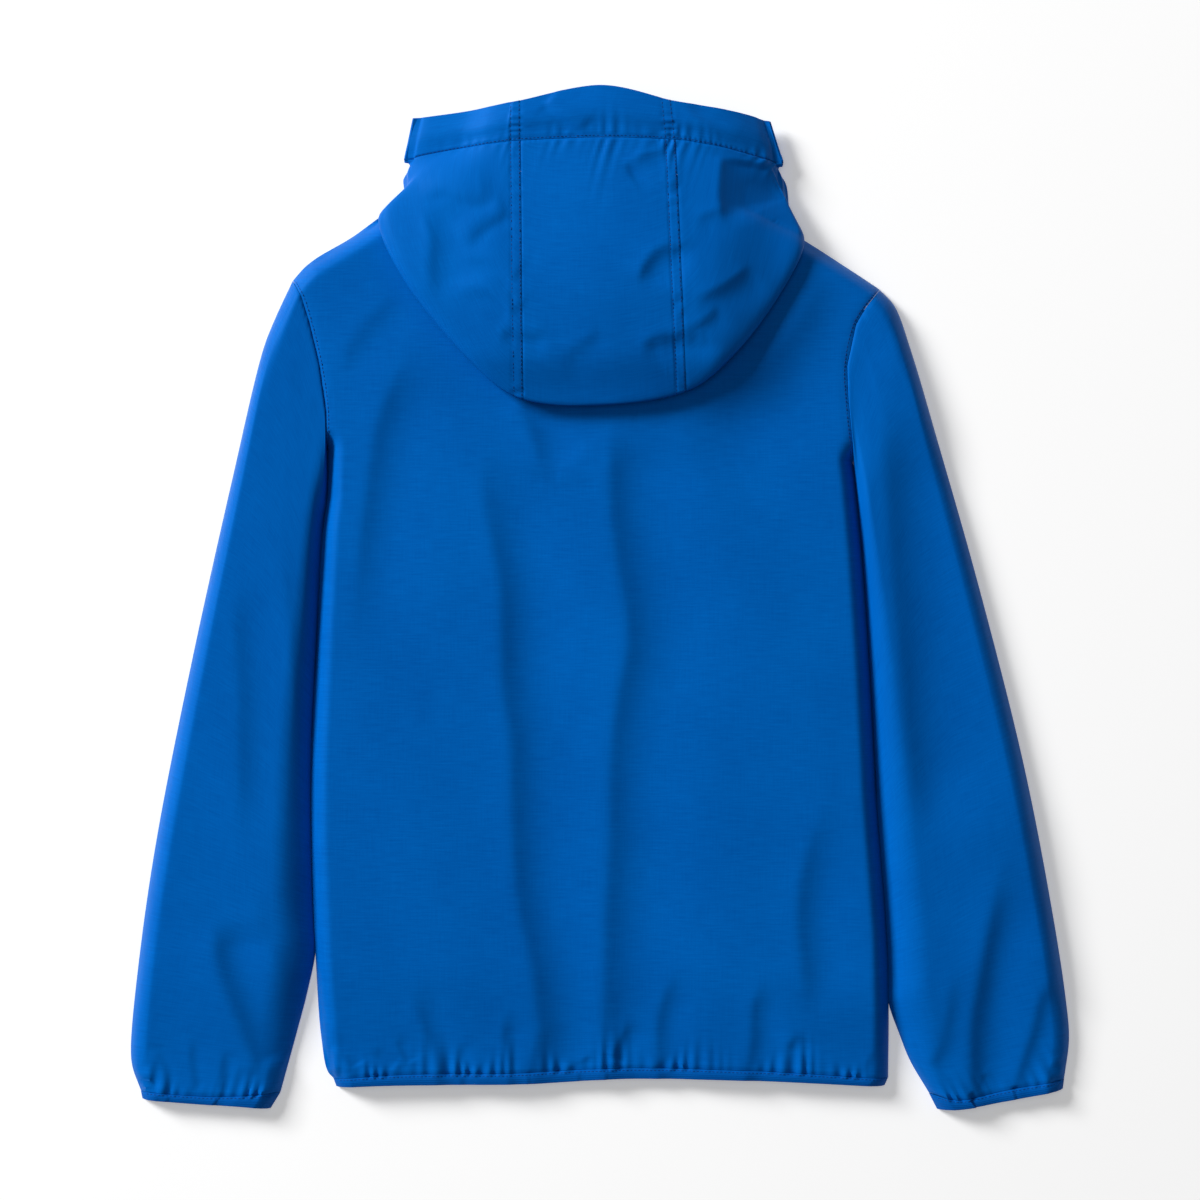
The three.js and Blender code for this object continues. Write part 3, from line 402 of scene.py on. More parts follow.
# "lean" is how much higher a sleeve is beside the body than at its outer edge. "free" is the part of its
# inner edge that isn't beside the body.
SLEEVE = {
    "left": {
        "sign": -1,
        "lean": 0,
        "free": [(-223.7, -300), (-231.3, -329), (-244, -375.4)],
        "outer": [(-248.5, 214.3), (-257.3, 191.5), (-281.2, 91.2), (-311.6, -45.6), (-338.2, -179.4),
                  (-351.1, -266), (-358.4, -341.2), (-357.2, -356.4), (-350.8, -374.4)],
        "cuff": [(-244, -375.4), (-291.8, -378), (-350.8, -374.4)],
        "cuff_edge": [(-251.6, -388.1), (-272.8, -385.9), (-304.4, -384), (-349.6, -380.6)],
        "folds": [
            (2.4, 4, 14, 0.2, 0.3, [(-239, 233), (-233, 224), (-220, 198)]),
            (1.5, 3, 10, 0.3, 0.3, [(-241, 218), (-228, 195)]),
            (1.6, 4, 12, 0.3, 0.3, [(-239, 178), (-230, 159), (-211, 147)]),
            (2.6, 8, 26, 0.3, 0.3, [(-271, 29), (-277, -18), (-274, -65), (-274, -122), (-274, -198)]),
            (1.4, 6, 16, 0.3, 0.3, [(-242, 44), (-236, -18), (-228, -111)]),
            (5.4, 8, 30, 0.2, 0.1, [(-294, -242), (-290, -278), (-279, -310), (-267, -341), (-259, -362)]),
            (2.4, 9, 22, 0.4, 0.3, [(-269, -228), (-254, -259), (-238, -291)]),
            (1.4, 3, 8, 0.4, 0.1, [(-311, -328), (-312, -347), (-309, -374)]),
            (1.8, 3, 9, 0.4, 0.0, [(-287, -340), (-290, -374)]),
            (1.4, 2.5, 7, 0.4, 0.0, [(-347, -347), (-337, -347), (-330, -370)]),
            (1.4, 2.5, 7, 0.4, 0.0, [(-355, -354), (-342, -370)]),
        ],
    },
    "right": {
        "sign": 1,
        "lean": 3,
        "free": [(229.1, -332.6), (236.7, -351.5), (251.2, -376.2)],
        "outer": [(225, 224.6), (237.5, 190.8), (257.9, 121.6), (287.9, 16), (322.8, -121.6),
                  (343.8, -228), (355.7, -303.6), (358.3, -335.2), (354.6, -365.4)],
        "cuff": [(251.2, -376.2), (273.2, -380.5), (314.6, -372.4), (354.6, -365.4)],
        "cuff_edge": [(257.5, -388.7), (276, -387.8), (323.6, -379.2), (353.6, -373.2)],
        "folds": [
            (2.6, 5, 14, 0.2, 0.3, [(220, 229), (203, 200), (189, 178)]),
            (1.4, 4, 10, 0.3, 0.3, [(223, 216), (211, 198)]),
            (5.6, 11, 60, 0.2, 0.2, [(214, 150), (217, 96), (220, 40), (226, -30), (232, -100), (243, -190)]),
            (6.0, 8, 30, 0.4, 0.0, [(308, -190), (299, -228), (288, -285), (282, -322), (282, -372)]),
            (3.0, 5, 16, 0.3, 0.0, [(350, -282), (336, -299), (328, -329), (320, -354), (316, -368)]),
            (2.2, 6, 16, 0.4, 0.1, [(268, -278), (264, -310), (258, -339), (247, -356)]),
            (1.3, 3, 8, 0.3, 0.1, [(311, -372), (302, -363), (292, -359)]),
            (1.4, 3, 8, 0.3, 0.0, [(343, -353), (341, -366)]),
        ],
    },
}


def beside_path(path, distance, sign):
    """A path moved sideways in the plan, to the side that "sign" gives in x"""
    path = np.array(path, float)
    dx, dy = np.gradient(path[:, 0]), np.gradient(path[:, 1])
    length = np.hypot(dx, dy) * np.sign(dy) * sign
    return np.stack([path[:, 0] + distance * dy / length, path[:, 1] - distance * dx / length], -1)


def add_loop(rows, points, height, width, thick, steps, under_steps, down):
    """Adds a tube's outer and inner loops, flat below from one edge to the other and arched above, and
    their row of the UV map, at a way "down" the cloth"""
    near, inset = np.array(BESIDE_EDGE) / width, thick / width
    top = np.concatenate([near[:2], np.linspace(near[2], 1 - near[2], steps), 1 - near[1::-1]])
    under = np.linspace(UNDER_EDGE / width, 1 - UNDER_EDGE / width, under_steps)
    v = np.concatenate([[0.0], under, [1.0], top[::-1]])
    tall = height(top)
    slope = np.gradient(tall, top * width)
    z = np.concatenate([[EDGE_HEIGHT / 2], np.zeros(under_steps), [EDGE_HEIGHT / 2], tall[::-1]])
    roof = np.maximum(tall - thick * np.hypot(1, slope), thick + 0.5)
    z_inner = np.concatenate([[thick + 0.3], np.full(under_steps, thick), [thick + 0.3], roof[::-1]])
    above = np.arange(len(v)) >= under_steps + 2
    rows["outer"].append(np.column_stack([points(v), z]))
    rows["inner"].append(np.column_stack([points(inset + (1 - 2 * inset) * v), z_inner]))
    rows["uv"].append(np.column_stack([np.where(above, -1, 1) * v * width, np.full(len(v), -down)]))


def sleeve(side):
    """One sleeve, loop by loop from the armhole to the cuff"""
    cut = SLEEVE[side]
    seam = along(smooth_path(SIDE_SEAM[side]), np.linspace(0, 1, 25))
    seam = beside_path(seam, -SIDE_GAP, cut["sign"])
    seam = seam[seam[:, 1] > cut["free"][0][1] + SLEEVE_FREE]
    armhole = beside_path(ARMHOLE[side], SEAM_GAP, cut["sign"])
    inner = on(np.vstack([armhole[:1], seam[::-1][1:], cut["free"]]))
    outer = on(np.vstack([armhole[-1:], cut["outer"]]))
    edges = (inner, outer, lambda v: by_rows(armhole, v), on(cut["cuff"]))
    rows = {"outer": [], "inner": [], "uv": []}
    for share in SLEEVE_SHARES:
        def at(v):
            return patch(*edges, np.array([share]), v)[0]

        width, down = math.dist(*at(np.array([0.0, 1.0]))), share * SLEEVE_LENGTH

        def height(v, gathered=1):
            x, y = at(v).T
            leaning = SLEEVE_LOFT + cut["lean"] * (0.5 - v)
            loft = leaning + (CUFF_LOFT - leaning) * eased(share, CUFF_SHARE, 1)
            inner_round = INNER_ROUND + (EDGE_ROUND - INNER_ROUND) * eased(share, CUFF_ROUND_SHARE, 1)
            arch = rise(v * width, inner_round) * rise((1 - v) * width, EDGE_ROUND)
            depth = SLEEVE_FOLD_DEPTH * creases(cut["folds"], x, y)
            own = EDGE_HEIGHT + (loft - depth + drape(x * 1.4, y, 0.3)) * arch
            gathering = above_tape(v * width * 1.1 + 40, (1 - share) * SLEEVE_LENGTH)
            own += gathered * gathering * rise(np.minimum(v, 1 - v) * width, CUFF_GATHER_START)
            x0, y0 = patch(*edges, np.array([0.0]), v)[0].T
            joined = eased(share, 0, ARMHOLE_SHARE)
            return (1 - joined) * back_surface(x0, y0) + joined * own - seam_valley(down, y0) * arch

        add_loop(rows, at, height, width, CLOTH, SLEEVE_STEPS, SLEEVE_UNDER, down)
    cut["cuff_height"] = height  # across the last loop
    made = wall("sleeve_" + side + "_cloth", *map(np.array, rows.values()), ring=True)
    made.data.materials.append(nylon)
    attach(made, "root")
    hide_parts("sleeve_" + side)


sleeve("left")
sleeve("right")

# Hood: a centre strip and two sides of the taffeta, joined by seams stitched twice, and a turned brim
# that is puckered by its elastic. The hood lies on the back with its neck seam and its throat under
# it.
HOOD_CLEAR = 2.5
BEYOND_FALL = 0.35
BRIM = 2.0
BRIM_PUFF = 1.5  # how far the middle of the brim stands up
NET_FOLD, NET_SEAM, NET_EDGE = 3, 7, 9  # places along a line
NET_CLOSING = 1.5  # how the points of a line with no fold close up towards the brim
SAG_RIGHT, SAG_LOW = 0.42, 0.34  # the shares of its height by which the right and lower hood sink
TWIN_WIDTH = 7.6  # from one row of a twin-needle seam to the other
TWIN_DIP, TWIN_PLEATS = 0.3, 0.42
HOOD_FOLD_DEPTH = 1.25  # what the drops of the hood's folds are multiplied by
HOOD_SHARPNESS = 0.2  # the share of their width over which they are rounded
BRIM_DIP, BRIM_DIP_WIDTH = 0.8, 1.1
CLOTH_PLACE, BRIM_PLACE = 30, 15  # about how long a place is, on the cloth and on the brim
# Each line of the hood runs from the neck, out to the fold and over the crown to the brim. Its row gives
# its neck, fold, brim seam and brim edge in the plan, and the heights of the fold's turn, the crown, the
# seam and the lip. Lines at the throat have no fold.
HOOD_LINES = [
    ("throat_left", (-0.2, 252), None, (-0.2, 312), (-0.2, 340), 0, 0, 0, 0),
    ("cheek_left_low", (-40, 264), None, (-34, 320), (-33, 348), 0, 0, 0, 0),
    ("cheek_left", (-66, 285), None, (-62, 328), (-60, 357), 0, 0, 0, 0),
    ("point_left", (-77, 308.5), None, (-84, 332), (-80, 361), 0, 0, 0, 0),
    ("corner_left", (-79, 309.5), None, (-145.5, 334), (-139, 366), 0, 0, 9, 9),
    ("side_left_corner", (-79, 308.5), (-147.5, 324), (-142, 335.5), (-135.5, 367), 6, 12, 12, 11),
    ("side_left_top", (-79, 307.5), (-150, 304), (-137, 337.5), (-130, 367.5), 12, 19, 15, 13),
    ("side_left_high", (-70, 303.5), (-168, 287), (-108, 342.5), (-101, 371), 13, 27, 20, 17),
    ("side_left", (-58, 300), (-146, 238), (-88, 345), (-82, 374), 16, 36, 27, 24),
    ("side_left_low", (-45, 297), (-98, 180), (-74, 346.3), (-69, 376.4), 17, 41, 30, 27),
    ("twin_left", (-30, 294.5), (-58, 152), (-60, 347.4), (-60, 377.7), 17, 43, 31, 29),
    ("middle", (0, 293), (5, 148), (-1, 349.5), (0, 389.1), 17, 45, 33, 30),
    ("twin_right", (30, 293.5), (65, 158), (57, 348), (54, 377.9), 17, 43, 31, 29),
    ("side_right_low", (45, 294.8), (101, 185), (77, 345.5), (75, 375), 17, 41, 30, 27),
    ("side_right", (58, 297), (134, 228), (97, 342), (95, 372), 16, 37, 27, 24),
    ("side_right_high", (70, 299.4), (155, 270), (121, 336), (115, 368), 13, 27, 20, 16),
    ("side_right_top", (78.5, 303.5), (145, 295), (130, 334), (121.5, 366), 12, 19, 15, 13),
    ("side_right_corner", (79, 304.5), (139.5, 321), (133.5, 333.2), (124.5, 365.2), 6, 12, 12, 11),
    ("corner_right", (79, 305.5), None, (136.5, 332), (127, 363.5), 0, 0, 9, 9),
    ("point_right", (77, 304.5), None, (84, 330), (80, 359), 0, 0, 0, 0),
    ("cheek_right", (66, 283), None, (62, 326), (60, 355), 0, 0, 0, 0),
    ("cheek_right_low", (40, 263), None, (34, 319), (33, 347), 0, 0, 0, 0),
    ("throat_right", (0.2, 252), None, (0.2, 312), (0.2, 340), 0, 0, 0, 0),
]
HOOD_FOLDS = [
    (-2.6, 5, 20, 0.3, 0.2, [(-136, 300), (-119, 304), (-97, 297), (-77, 300)]),
    (-2.4, 4, 16, 0.3, 0.2, [(-100, 262), (-88, 277), (-77, 284), (-65, 290)]),
    (2.6, 5, 30, 0.3, 0.2, [(-136, 296), (-128, 274), (-129, 248), (-125, 226)]),
    (-2.2, 3.5, 14, 0.5, 0.1, [(-108, 252), (-92, 253), (-80, 248), (-66, 237)]),
    (-2.2, 3.5, 14, 0.5, 0.1, [(-110, 228), (-92, 229), (-78, 223), (-68, 212)]),
    (2.4, 3, 12, 0.3, 0.3, [(-36, 201), (-54, 201), (-70, 203), (-80, 196)]),
    (2.0, 4, 16, 0.3, 0.1, [(52, 340), (32, 336), (17, 328)]),
    (-2.2, 3, 14, 0.2, 0.2, [(17, 328), (36, 316), (57, 304)]),
    (3.6, 5, 24, 0.3, 0.2, [(76, 268), (57, 268.5), (42, 263), (32, 251), (27, 236)]),
    (3.0, 5, 18, 0.2, 0.3, [(114, 254), (98, 241), (84, 233), (68, 226)]),
    (1.8, 4, 14, 0.3, 0.4, [(99, 297), (84, 293), (68, 286)]),
    (2.2, 3.5, 14, 0.2, 0.3, [(90, 224), (80, 213), (64, 204), (44, 204)]),
    (3.2, 4, 16, 0.3, 0.2, [(94, 197), (68, 198), (46, 199), (34, 194), (27, 186)]),
    (1.8, 5, 14, 0.3, 0.3, [(2, 206), (-14, 194), (-34, 182)]),
    (-2.4, 3.5, 14, 0.1, 0.2, [(-44, 374), (-30, 362), (-15, 349)]),
    (1.8, 5, 22, 0.3, 0.4, [(60, 372), (78, 360), (98, 345)]),
    (3.2, 5, 40, 0.1, 0.3, [(92, 336), (90, 318), (90, 296), (97, 276)]),
]
NECKLINE = smooth_path(top_edge)


def over_back(x, y, clear):
    """The least height of a layer that lies on the back, falling beyond its shoulders and neck"""
    edge = np.interp(x, NECKLINE[:, 0], NECKLINE[:, 1])
    least = body_height(x, np.minimum(y, edge), np.zeros(x.shape))
    return np.maximum(least + clear - BEYOND_FALL * np.maximum(y - edge, 0), 0)


def net_line(neck, fold, seam, edge, turn, crown, seam_z, lip):
    """Ten points along a line of the hood"""
    def mix(p, q, share, z):
        return (*(m + (n - m) * share for m, n in zip(p, q)), z)

    def on_back(p, q, share, clear):
        x, y, _ = mix(p, q, share, 0)
        return (x, y, float(over_back(np.array([x]), np.array([y]), clear)[0]))

    puff = BRIM_PUFF if fold else 0
    brim = [mix(seam, edge, 0.5, seam_z + (lip - seam_z) * 0.4 + puff), mix(seam, edge, 1, lip)]
    if not fold:
        shares = 1 - (1 - np.linspace(0, 1, NET_SEAM + 1)) ** NET_CLOSING
        low = 2 if seam_z else 0
        heights = [low * (1 - s) + (seam_z - low * (1 - s)) * eased(s, 0.4, 1) for s in shares]
        return [mix(neck, seam, s, z) for s, z in zip(shares, heights)] + brim
    inward = turn * 0.6
    to_neck, to_seam = inward / math.dist(fold, neck), inward / math.dist(fold, seam)
    under = on_back(fold, neck, to_neck, HOOD_CLEAR)
    return [on_back(neck, fold, 0, SEAM_GAP), on_back(neck, fold, 0.45, HOOD_CLEAR), under,
            (*fold, under[2] + turn / 2), mix(fold, seam, to_seam, under[2] + turn),
            mix(fold, seam, 0.4, crown), mix(fold, seam, 0.75, crown + (seam_z - crown) * 0.45),
            (*seam, seam_z)] + brim


def between(values, places):
    """Values at places between equally spaced ones, on a smooth curve through them all"""
    ends = [2 * values[:1] - values[1:2], values, 2 * values[-1:] - values[-2:-1]]
    values = np.concatenate(ends)
    i = np.clip(np.floor(places).astype(int), 0, len(values) - 4)
    t = (places - i).reshape(-1, *[1] * (values.ndim - 1))
    return (values[i] * (-0.5 * t**3 + t**2 - 0.5 * t) + values[i + 1] * (1.5 * t**3 - 2.5 * t**2 + 1)
            + values[i + 2] * (-1.5 * t**3 + 2 * t**2 + 0.5 * t)
            + values[i + 3] * (0.5 * t**3 - 0.5 * t**2))


HOOD_NET = np.array([net_line(*line[1:]) for line in HOOD_LINES])
LINE = {line[0]: i for i, line in enumerate(HOOD_LINES)}


def hood_form(lines, places):
    """A grid of points of the smooth hood, at places along each of its lines. It lies above the back,
    and sinks at its right and lower sides."""
    across = between(HOOD_NET, lines)
    points = between(across.transpose(1, 0, 2), places).transpose(1, 0, 2)
    x, y = points[..., 0], points[..., 1]
    on_back = (lines > LINE["side_left_corner"])[:, None] & (lines < LINE["side_right_corner"])[:, None]
    on_back = on_back & (places < NET_FOLD)[None]
    clear = 2 * SEAM_GAP + (HOOD_CLEAR - 2 * SEAM_GAP) * np.clip(places, 0, 1)[None]
    points[..., 2] = np.maximum(points[..., 2], np.where(on_back, over_back(x, y, clear), 0))
    sag = SAG_RIGHT * eased(x, 84, 138) * eased(y, 140, 180) + SAG_LOW * (1 - eased(y, 150, 188))
    above = np.maximum(points[..., 2] - over_back(x, y, HOOD_CLEAR), 0)
    points[..., 2] -= sag * above * (1 - eased(places, 5.5, NET_SEAM))[None]
    return points


def hood_normals(lines, places):
    """The directions that point out of the smooth hood"""
    step, last = 0.05, len(HOOD_LINES) - 1
    d_place = (hood_form(lines, np.minimum(places + step, NET_EDGE))
               - hood_form(lines, np.maximum(places - step, 0)))
    d_line = (hood_form(np.minimum(lines + step, last), places)
              - hood_form(np.maximum(lines - step, 0), places))
    normals = np.cross(d_line, d_place)
    return normals / np.maximum(np.linalg.norm(normals, axis=-1, keepdims=True), 1e-9)


def from_seam(name, points, lines, places):
    """How far points of the hood lie to the right of one of its twin-needle seams"""
    seam = hood_form(np.array([float(LINE[name])]), places)
    return np.linalg.norm(points - seam, axis=-1) * np.sign(lines - LINE[name])[:, None]


def twin_seams(points, lines, places):
    """The dip of the cloth along the two rows of each seam, and the short pleats between them"""
    dip = np.zeros(points.shape[:2])
    for name, shift in (("twin_left", 0.0), ("twin_right", 3.0)):
        beside = from_seam(name, points, lines, places)
        way = points[..., 1] + shift
        between_rows = np.exp(-(((beside + TWIN_WIDTH / 2) / 4.6) ** 6))
        dip += (TWIN_DIP * np.exp(-((beside / 0.9) ** 2))
                + TWIN_DIP * np.exp(-(((beside + TWIN_WIDTH) / 1.1) ** 2)))
        pleats = np.sin(way / 0.85 + 2.2 * np.sin(way / 7)) + 0.7 * np.sin(way / 1.9 + 1)
        uneven = 0.25 + 0.75 * np.sin(way / 17 + 1.2 * np.sin(way / 31)) ** 2
        dip += TWIN_PLEATS * between_rows * pleats * uneven
    return dip


def hood_surface(lines, places, is_brim):
    """The hood with its creases, its twin seams and the puckers at its brim's seam, and its normals"""
    points, normals = hood_form(lines, places), hood_normals(lines, places)
    x, y = points[..., 0], points[..., 1]
    upper = eased(normals[..., 2], 0.3, 0.8)
    lift = -HOOD_FOLD_DEPTH * creases(HOOD_FOLDS, x, y, HOOD_SHARPNESS) - twin_seams(points, lines, places)
    lift += drape(x * 1.3, y * 1.3, 0.3)
    fall = abs(places - NET_SEAM)[None] * (BRIM_PLACE if is_brim else CLOTH_PLACE)
    drawn = 0.25 + 0.75 * eased(x, -70, -20)
    slant = x * 1.1 + 0.5 * np.where(is_brim, 0, fall)
    lift += 0.8 * drawn * gathers(slant, fall * (1.5 if is_brim else 1), 1) * np.clip(fall / 2, 0.2, 1)
    ladder = 0.22 * np.sin(x / 0.62) * np.exp(-((fall / 1.8) ** 2)) * drawn
    lift += ladder - BRIM_DIP * np.exp(-((fall / BRIM_DIP_WIDTH) ** 2))
    return points + normals * (lift * upper)[..., None], normals


def drawn_in(grid, edges, distance):
    """Moves edges of a grid off their seams towards the points beside them"""
    for edge, beside in edges:
        inward = grid[beside] - grid[edge]
        length = np.maximum(np.linalg.norm(inward, axis=-1, keepdims=True), 1e-9)
        grid[edge] = grid[edge] + inward * (distance / length)
    return grid


def way_along(points, axis):
    """How far each point of a grid lies along its row or column, in mm of cloth"""
    steps = np.linalg.norm(np.diff(points, axis=axis), axis=-1)
    return np.cumsum(np.concatenate([np.zeros_like(steps.take([0], axis)), steps], axis), axis)


SEAM_DRAWN = 0.2
FIRST_LINE = ((0, slice(None)), (1, slice(None)))
LAST_LINE = ((-1, slice(None)), (-2, slice(None)))
FIRST_PLACE = ((slice(None), 0), (slice(None), 1))
LAST_PLACE = ((slice(None), -1), (slice(None), -2))


def hood_piece(node_name, lines, places, thick, seams):
    """One piece of the hood, between some of its lines and places"""
    points, normals = hood_surface(lines, places, thick == BRIM)
    inner = points - normals * thick
    inner[..., 2] = np.maximum(inner[..., 2], 0.2)
    uv = np.dstack([way_along(points, 0), way_along(points, 1)])
    name = node_name + "_cloth"
    made = wall(name, drawn_in(points, seams, SEAM_DRAWN), drawn_in(inner, seams, SEAM_DRAWN), uv)
    made.data.materials.append(nylon)
    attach(made, "root")
    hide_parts(node_name)


def spread(*stops):
    """Places from stop to stop, with a count of steps between them"""
    parts = [np.linspace(a, b, n, endpoint=False) for a, n, b in zip(stops[::2], stops[1::2], stops[2::2])]
    return np.concatenate(parts + [stops[-1:]])


cloth_places = spread(0, 16, 2, 30, 4.5, 44, NET_SEAM - 0.35, 12, NET_SEAM)
brim_places = spread(NET_SEAM, 14, NET_SEAM + 0.5, 18, NET_EDGE)
twin_left, twin_right, last_line = LINE["twin_left"], LINE["twin_right"], len(HOOD_LINES) - 1
side_left = spread(0, 24, LINE["side_left_corner"], 50, LINE["side_left_low"], 24, twin_left)
centre = spread(twin_left, 24, twin_left + 0.3, 44, twin_right - 0.3, 30, twin_right)
side_right = spread(twin_right, 24, LINE["side_right_low"], 50, LINE["side_right_corner"], 24, last_line)
brim_lines = spread(0, 40, LINE["corner_left"], 60, LINE["side_left_high"], 230, LINE["side_right_high"], 60,
                    LINE["corner_right"], 40, last_line)
hood_piece("hood_side_left", side_left, cloth_places, CLOTH, [LAST_LINE, LAST_PLACE])
hood_piece("hood_centre", centre, cloth_places, CLOTH, [FIRST_LINE, LAST_LINE, LAST_PLACE])
hood_piece("hood_side_right", side_right, cloth_places, CLOTH, [FIRST_LINE, LAST_PLACE])
hood_piece("hood_brim", brim_lines, brim_places, BRIM, [FIRST_PLACE])

# Bindings: matte knitted elastic tape of nylon and rubber, folded over the raw edges of the hem and
# the cuffs and stitched down along its top. It draws the cloth above it into gathers.
BINDING_WALL = 1.4
BINDING_BULGE = 0.7
BINDING_WIDTH = 8
BINDING_SHARES = (0, 0.08, 0.18, 0.3, 0.5, 0.75, 1)
SEWN_SHARE = 2  # which of those the row of stitches follows
BINDING_UNDER = 26
ROW_LIFT = 0.1  # how far a row of stitches stands above the cloth
HEM_EDGE = [(-201.4, -371.3), (-162.6, -369.6), (-45, -368.1), (15, -364.8), (127, -366.3), (217.4, -370.6)]


def knitted_elastic():
    """Folded elastic tape, knitted from textured nylon over rubber: softer and a little darker than
    the taffeta, with fine ribs along its length. They are 0.8 mm apart, too fine to show, and drawn
    1.6 mm apart."""
    made = bpy.data.materials.new("knitted elastic tape")
    made.use_nodes = True
    shader = made.node_tree.nodes["Principled BSDF"]
    links = made.node_tree.links
    uv = node(made, "ShaderNodeUVMap", {"uv_map": "cloth"}).outputs["UV"]
    ribs = node(made, "ShaderNodeTexWave", {"bands_direction": "Y"}, Vector=uv, Scale=200.0, Distortion=0.6,
                Detail=1.0)
    fuzz = node(made, "ShaderNodeTexNoise", Vector=uv, Scale=700.0, Detail=2.0)
    ramp = node(made, "ShaderNodeValToRGB", i0=fuzz.outputs["Fac"])
    for stop, code in zip(ramp.color_ramp.elements, ("#004fa0", "#005cb4")):
        stop.color = colour(code)
    links.new(ramp.outputs["Color"], shader.inputs["Base Color"])
    bump = node(made, "ShaderNodeBump", Height=ribs.outputs["Fac"], Strength=0.5, Distance=0.0002)
    links.new(bump.outputs["Normal"], shader.inputs["Normal"])
    shader.inputs["Roughness"].default_value = 0.75
    shader.inputs["IOR"].default_value = 1.5
    shader.inputs["Specular IOR Level"].default_value = 0.25
    shader.inputs["Specular Tint"].default_value = colour("#2f9bff")
    return made


elastic = knitted_elastic()
sewn_rows = []


def hem_height(v, gathered):
    """The height of the back across its hem"""
    x, y = on(HEM)(v).T
    free = rise(np.minimum(x - HEM[0][0], HEM[-1][0] - x), GATHER_START)
    return back_surface(x, y) + gathered * above_tape(x, 0) * free


def binding(name, node_name, top_rows, bottom_rows, cloth_height, steps):
    """One tape, loop by loop from the cloth to its edge. It follows the gathers at its top alone."""
    top_edge, bottom_edge = on(top_rows), on(bottom_rows)
    rows = {"outer": [], "inner": [], "uv": []}
    for share in BINDING_SHARES:
        def at(v):
            return (top_edge(v) - [0, SEAM_GAP]) * (1 - share) + bottom_edge(v) * share

        width = math.dist(*at(np.array([0.0, 1.0])))

        def height(v):
            bulge = BINDING_BULGE * math.sin(math.pi * share) ** 0.6
            bulge = bulge * rise(np.minimum(v, 1 - v) * width, GATHER_START)
            return cloth_height(v, 1 - eased(share, 0, 0.3)) + 0.1 + bulge

        add_loop(rows, at, height, width, BINDING_WALL, steps, BINDING_UNDER, BINDING_WIDTH * share)
    sewn_rows.append(rows["outer"][SEWN_SHARE][BINDING_UNDER + 3:-1] + [0, 0, ROW_LIFT])
    made = wall(name, *map(np.array, rows.values()), ring=True)
    made.data.materials.append(elastic)
    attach(made, "root")
    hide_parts(node_name)


binding("hem_tape", "hem_binding", HEM, HEM_EDGE, hem_height, 250)
for side in ("left", "right"):
    cut = SLEEVE[side]
    binding("cuff_tape_" + side, "cuff_binding_" + side, cut["cuff"], cut["cuff_edge"], cut["cuff_height"],
            60)

# Stitching: lockstitch of polyester thread, drawn down into the cloth. Two rows run along each seam of
# the hood and one over its brim's seam, one beside each armhole and one along each tape. The stitches
# are 2.3 mm long at a pitch of 3 mm.
STITCH = {"Pitch": 0.003, "Length": 0.0023, "Thickness": 0.00055}
TWIN_ROWS = (-1.2, -TWIN_WIDTH)  # how far a seam's two rows lie beside it
BRIM_ROW = 0.04  # how far the brim's row lies past its seam, in places along the lines
ARMHOLE_ROW, ARMHOLE_LIFT = 1.8, 0.15


def hood_row(name, beside, places, is_brim):
    """A row on the hood at a distance to the right of one of its seams"""
    lines = LINE[name] + np.linspace(-0.9, 0.3, 80)
    points, _ = hood_surface(lines, places, is_brim)
    right = from_seam(name, hood_form(lines, places), lines, places)
    return np.array([[np.interp(beside, right[:, j], points[:, j, k]) for k in range(3)]
                     for j in range(len(places))])


def thread_with_painted_shade():
    """Spun polyester sewing thread with a soft dull twist. Its blue, deeper than the cloth's, is painted
    shade standing for the shade of the grooves the stitches sink into
    """
    made = bpy.data.materials.new("sewing thread with painted shade")
    made.use_nodes = True
    shader = made.node_tree.nodes["Principled BSDF"]
    place = node(made, "ShaderNodeTexCoord").outputs["Object"]
    twist = node(made, "ShaderNodeTexNoise", Vector=place, Scale=900.0, Detail=1.0)
    ramp = node(made, "ShaderNodeValToRGB", i0=twist.outputs["Fac"])
    # Painted shade: the thread is coloured darker than the cloth to stand for the shade in the seam grooves.
    for stop, code in zip(ramp.color_ramp.elements, ("#00306e", "#004590")):
        stop.color = colour(code)
    made.node_tree.links.new(ramp.outputs["Color"], shader.inputs["Base Color"])
    shader.inputs["Roughness"].default_value = 0.65
    shader.inputs["Specular IOR Level"].default_value = 0.2
    return made


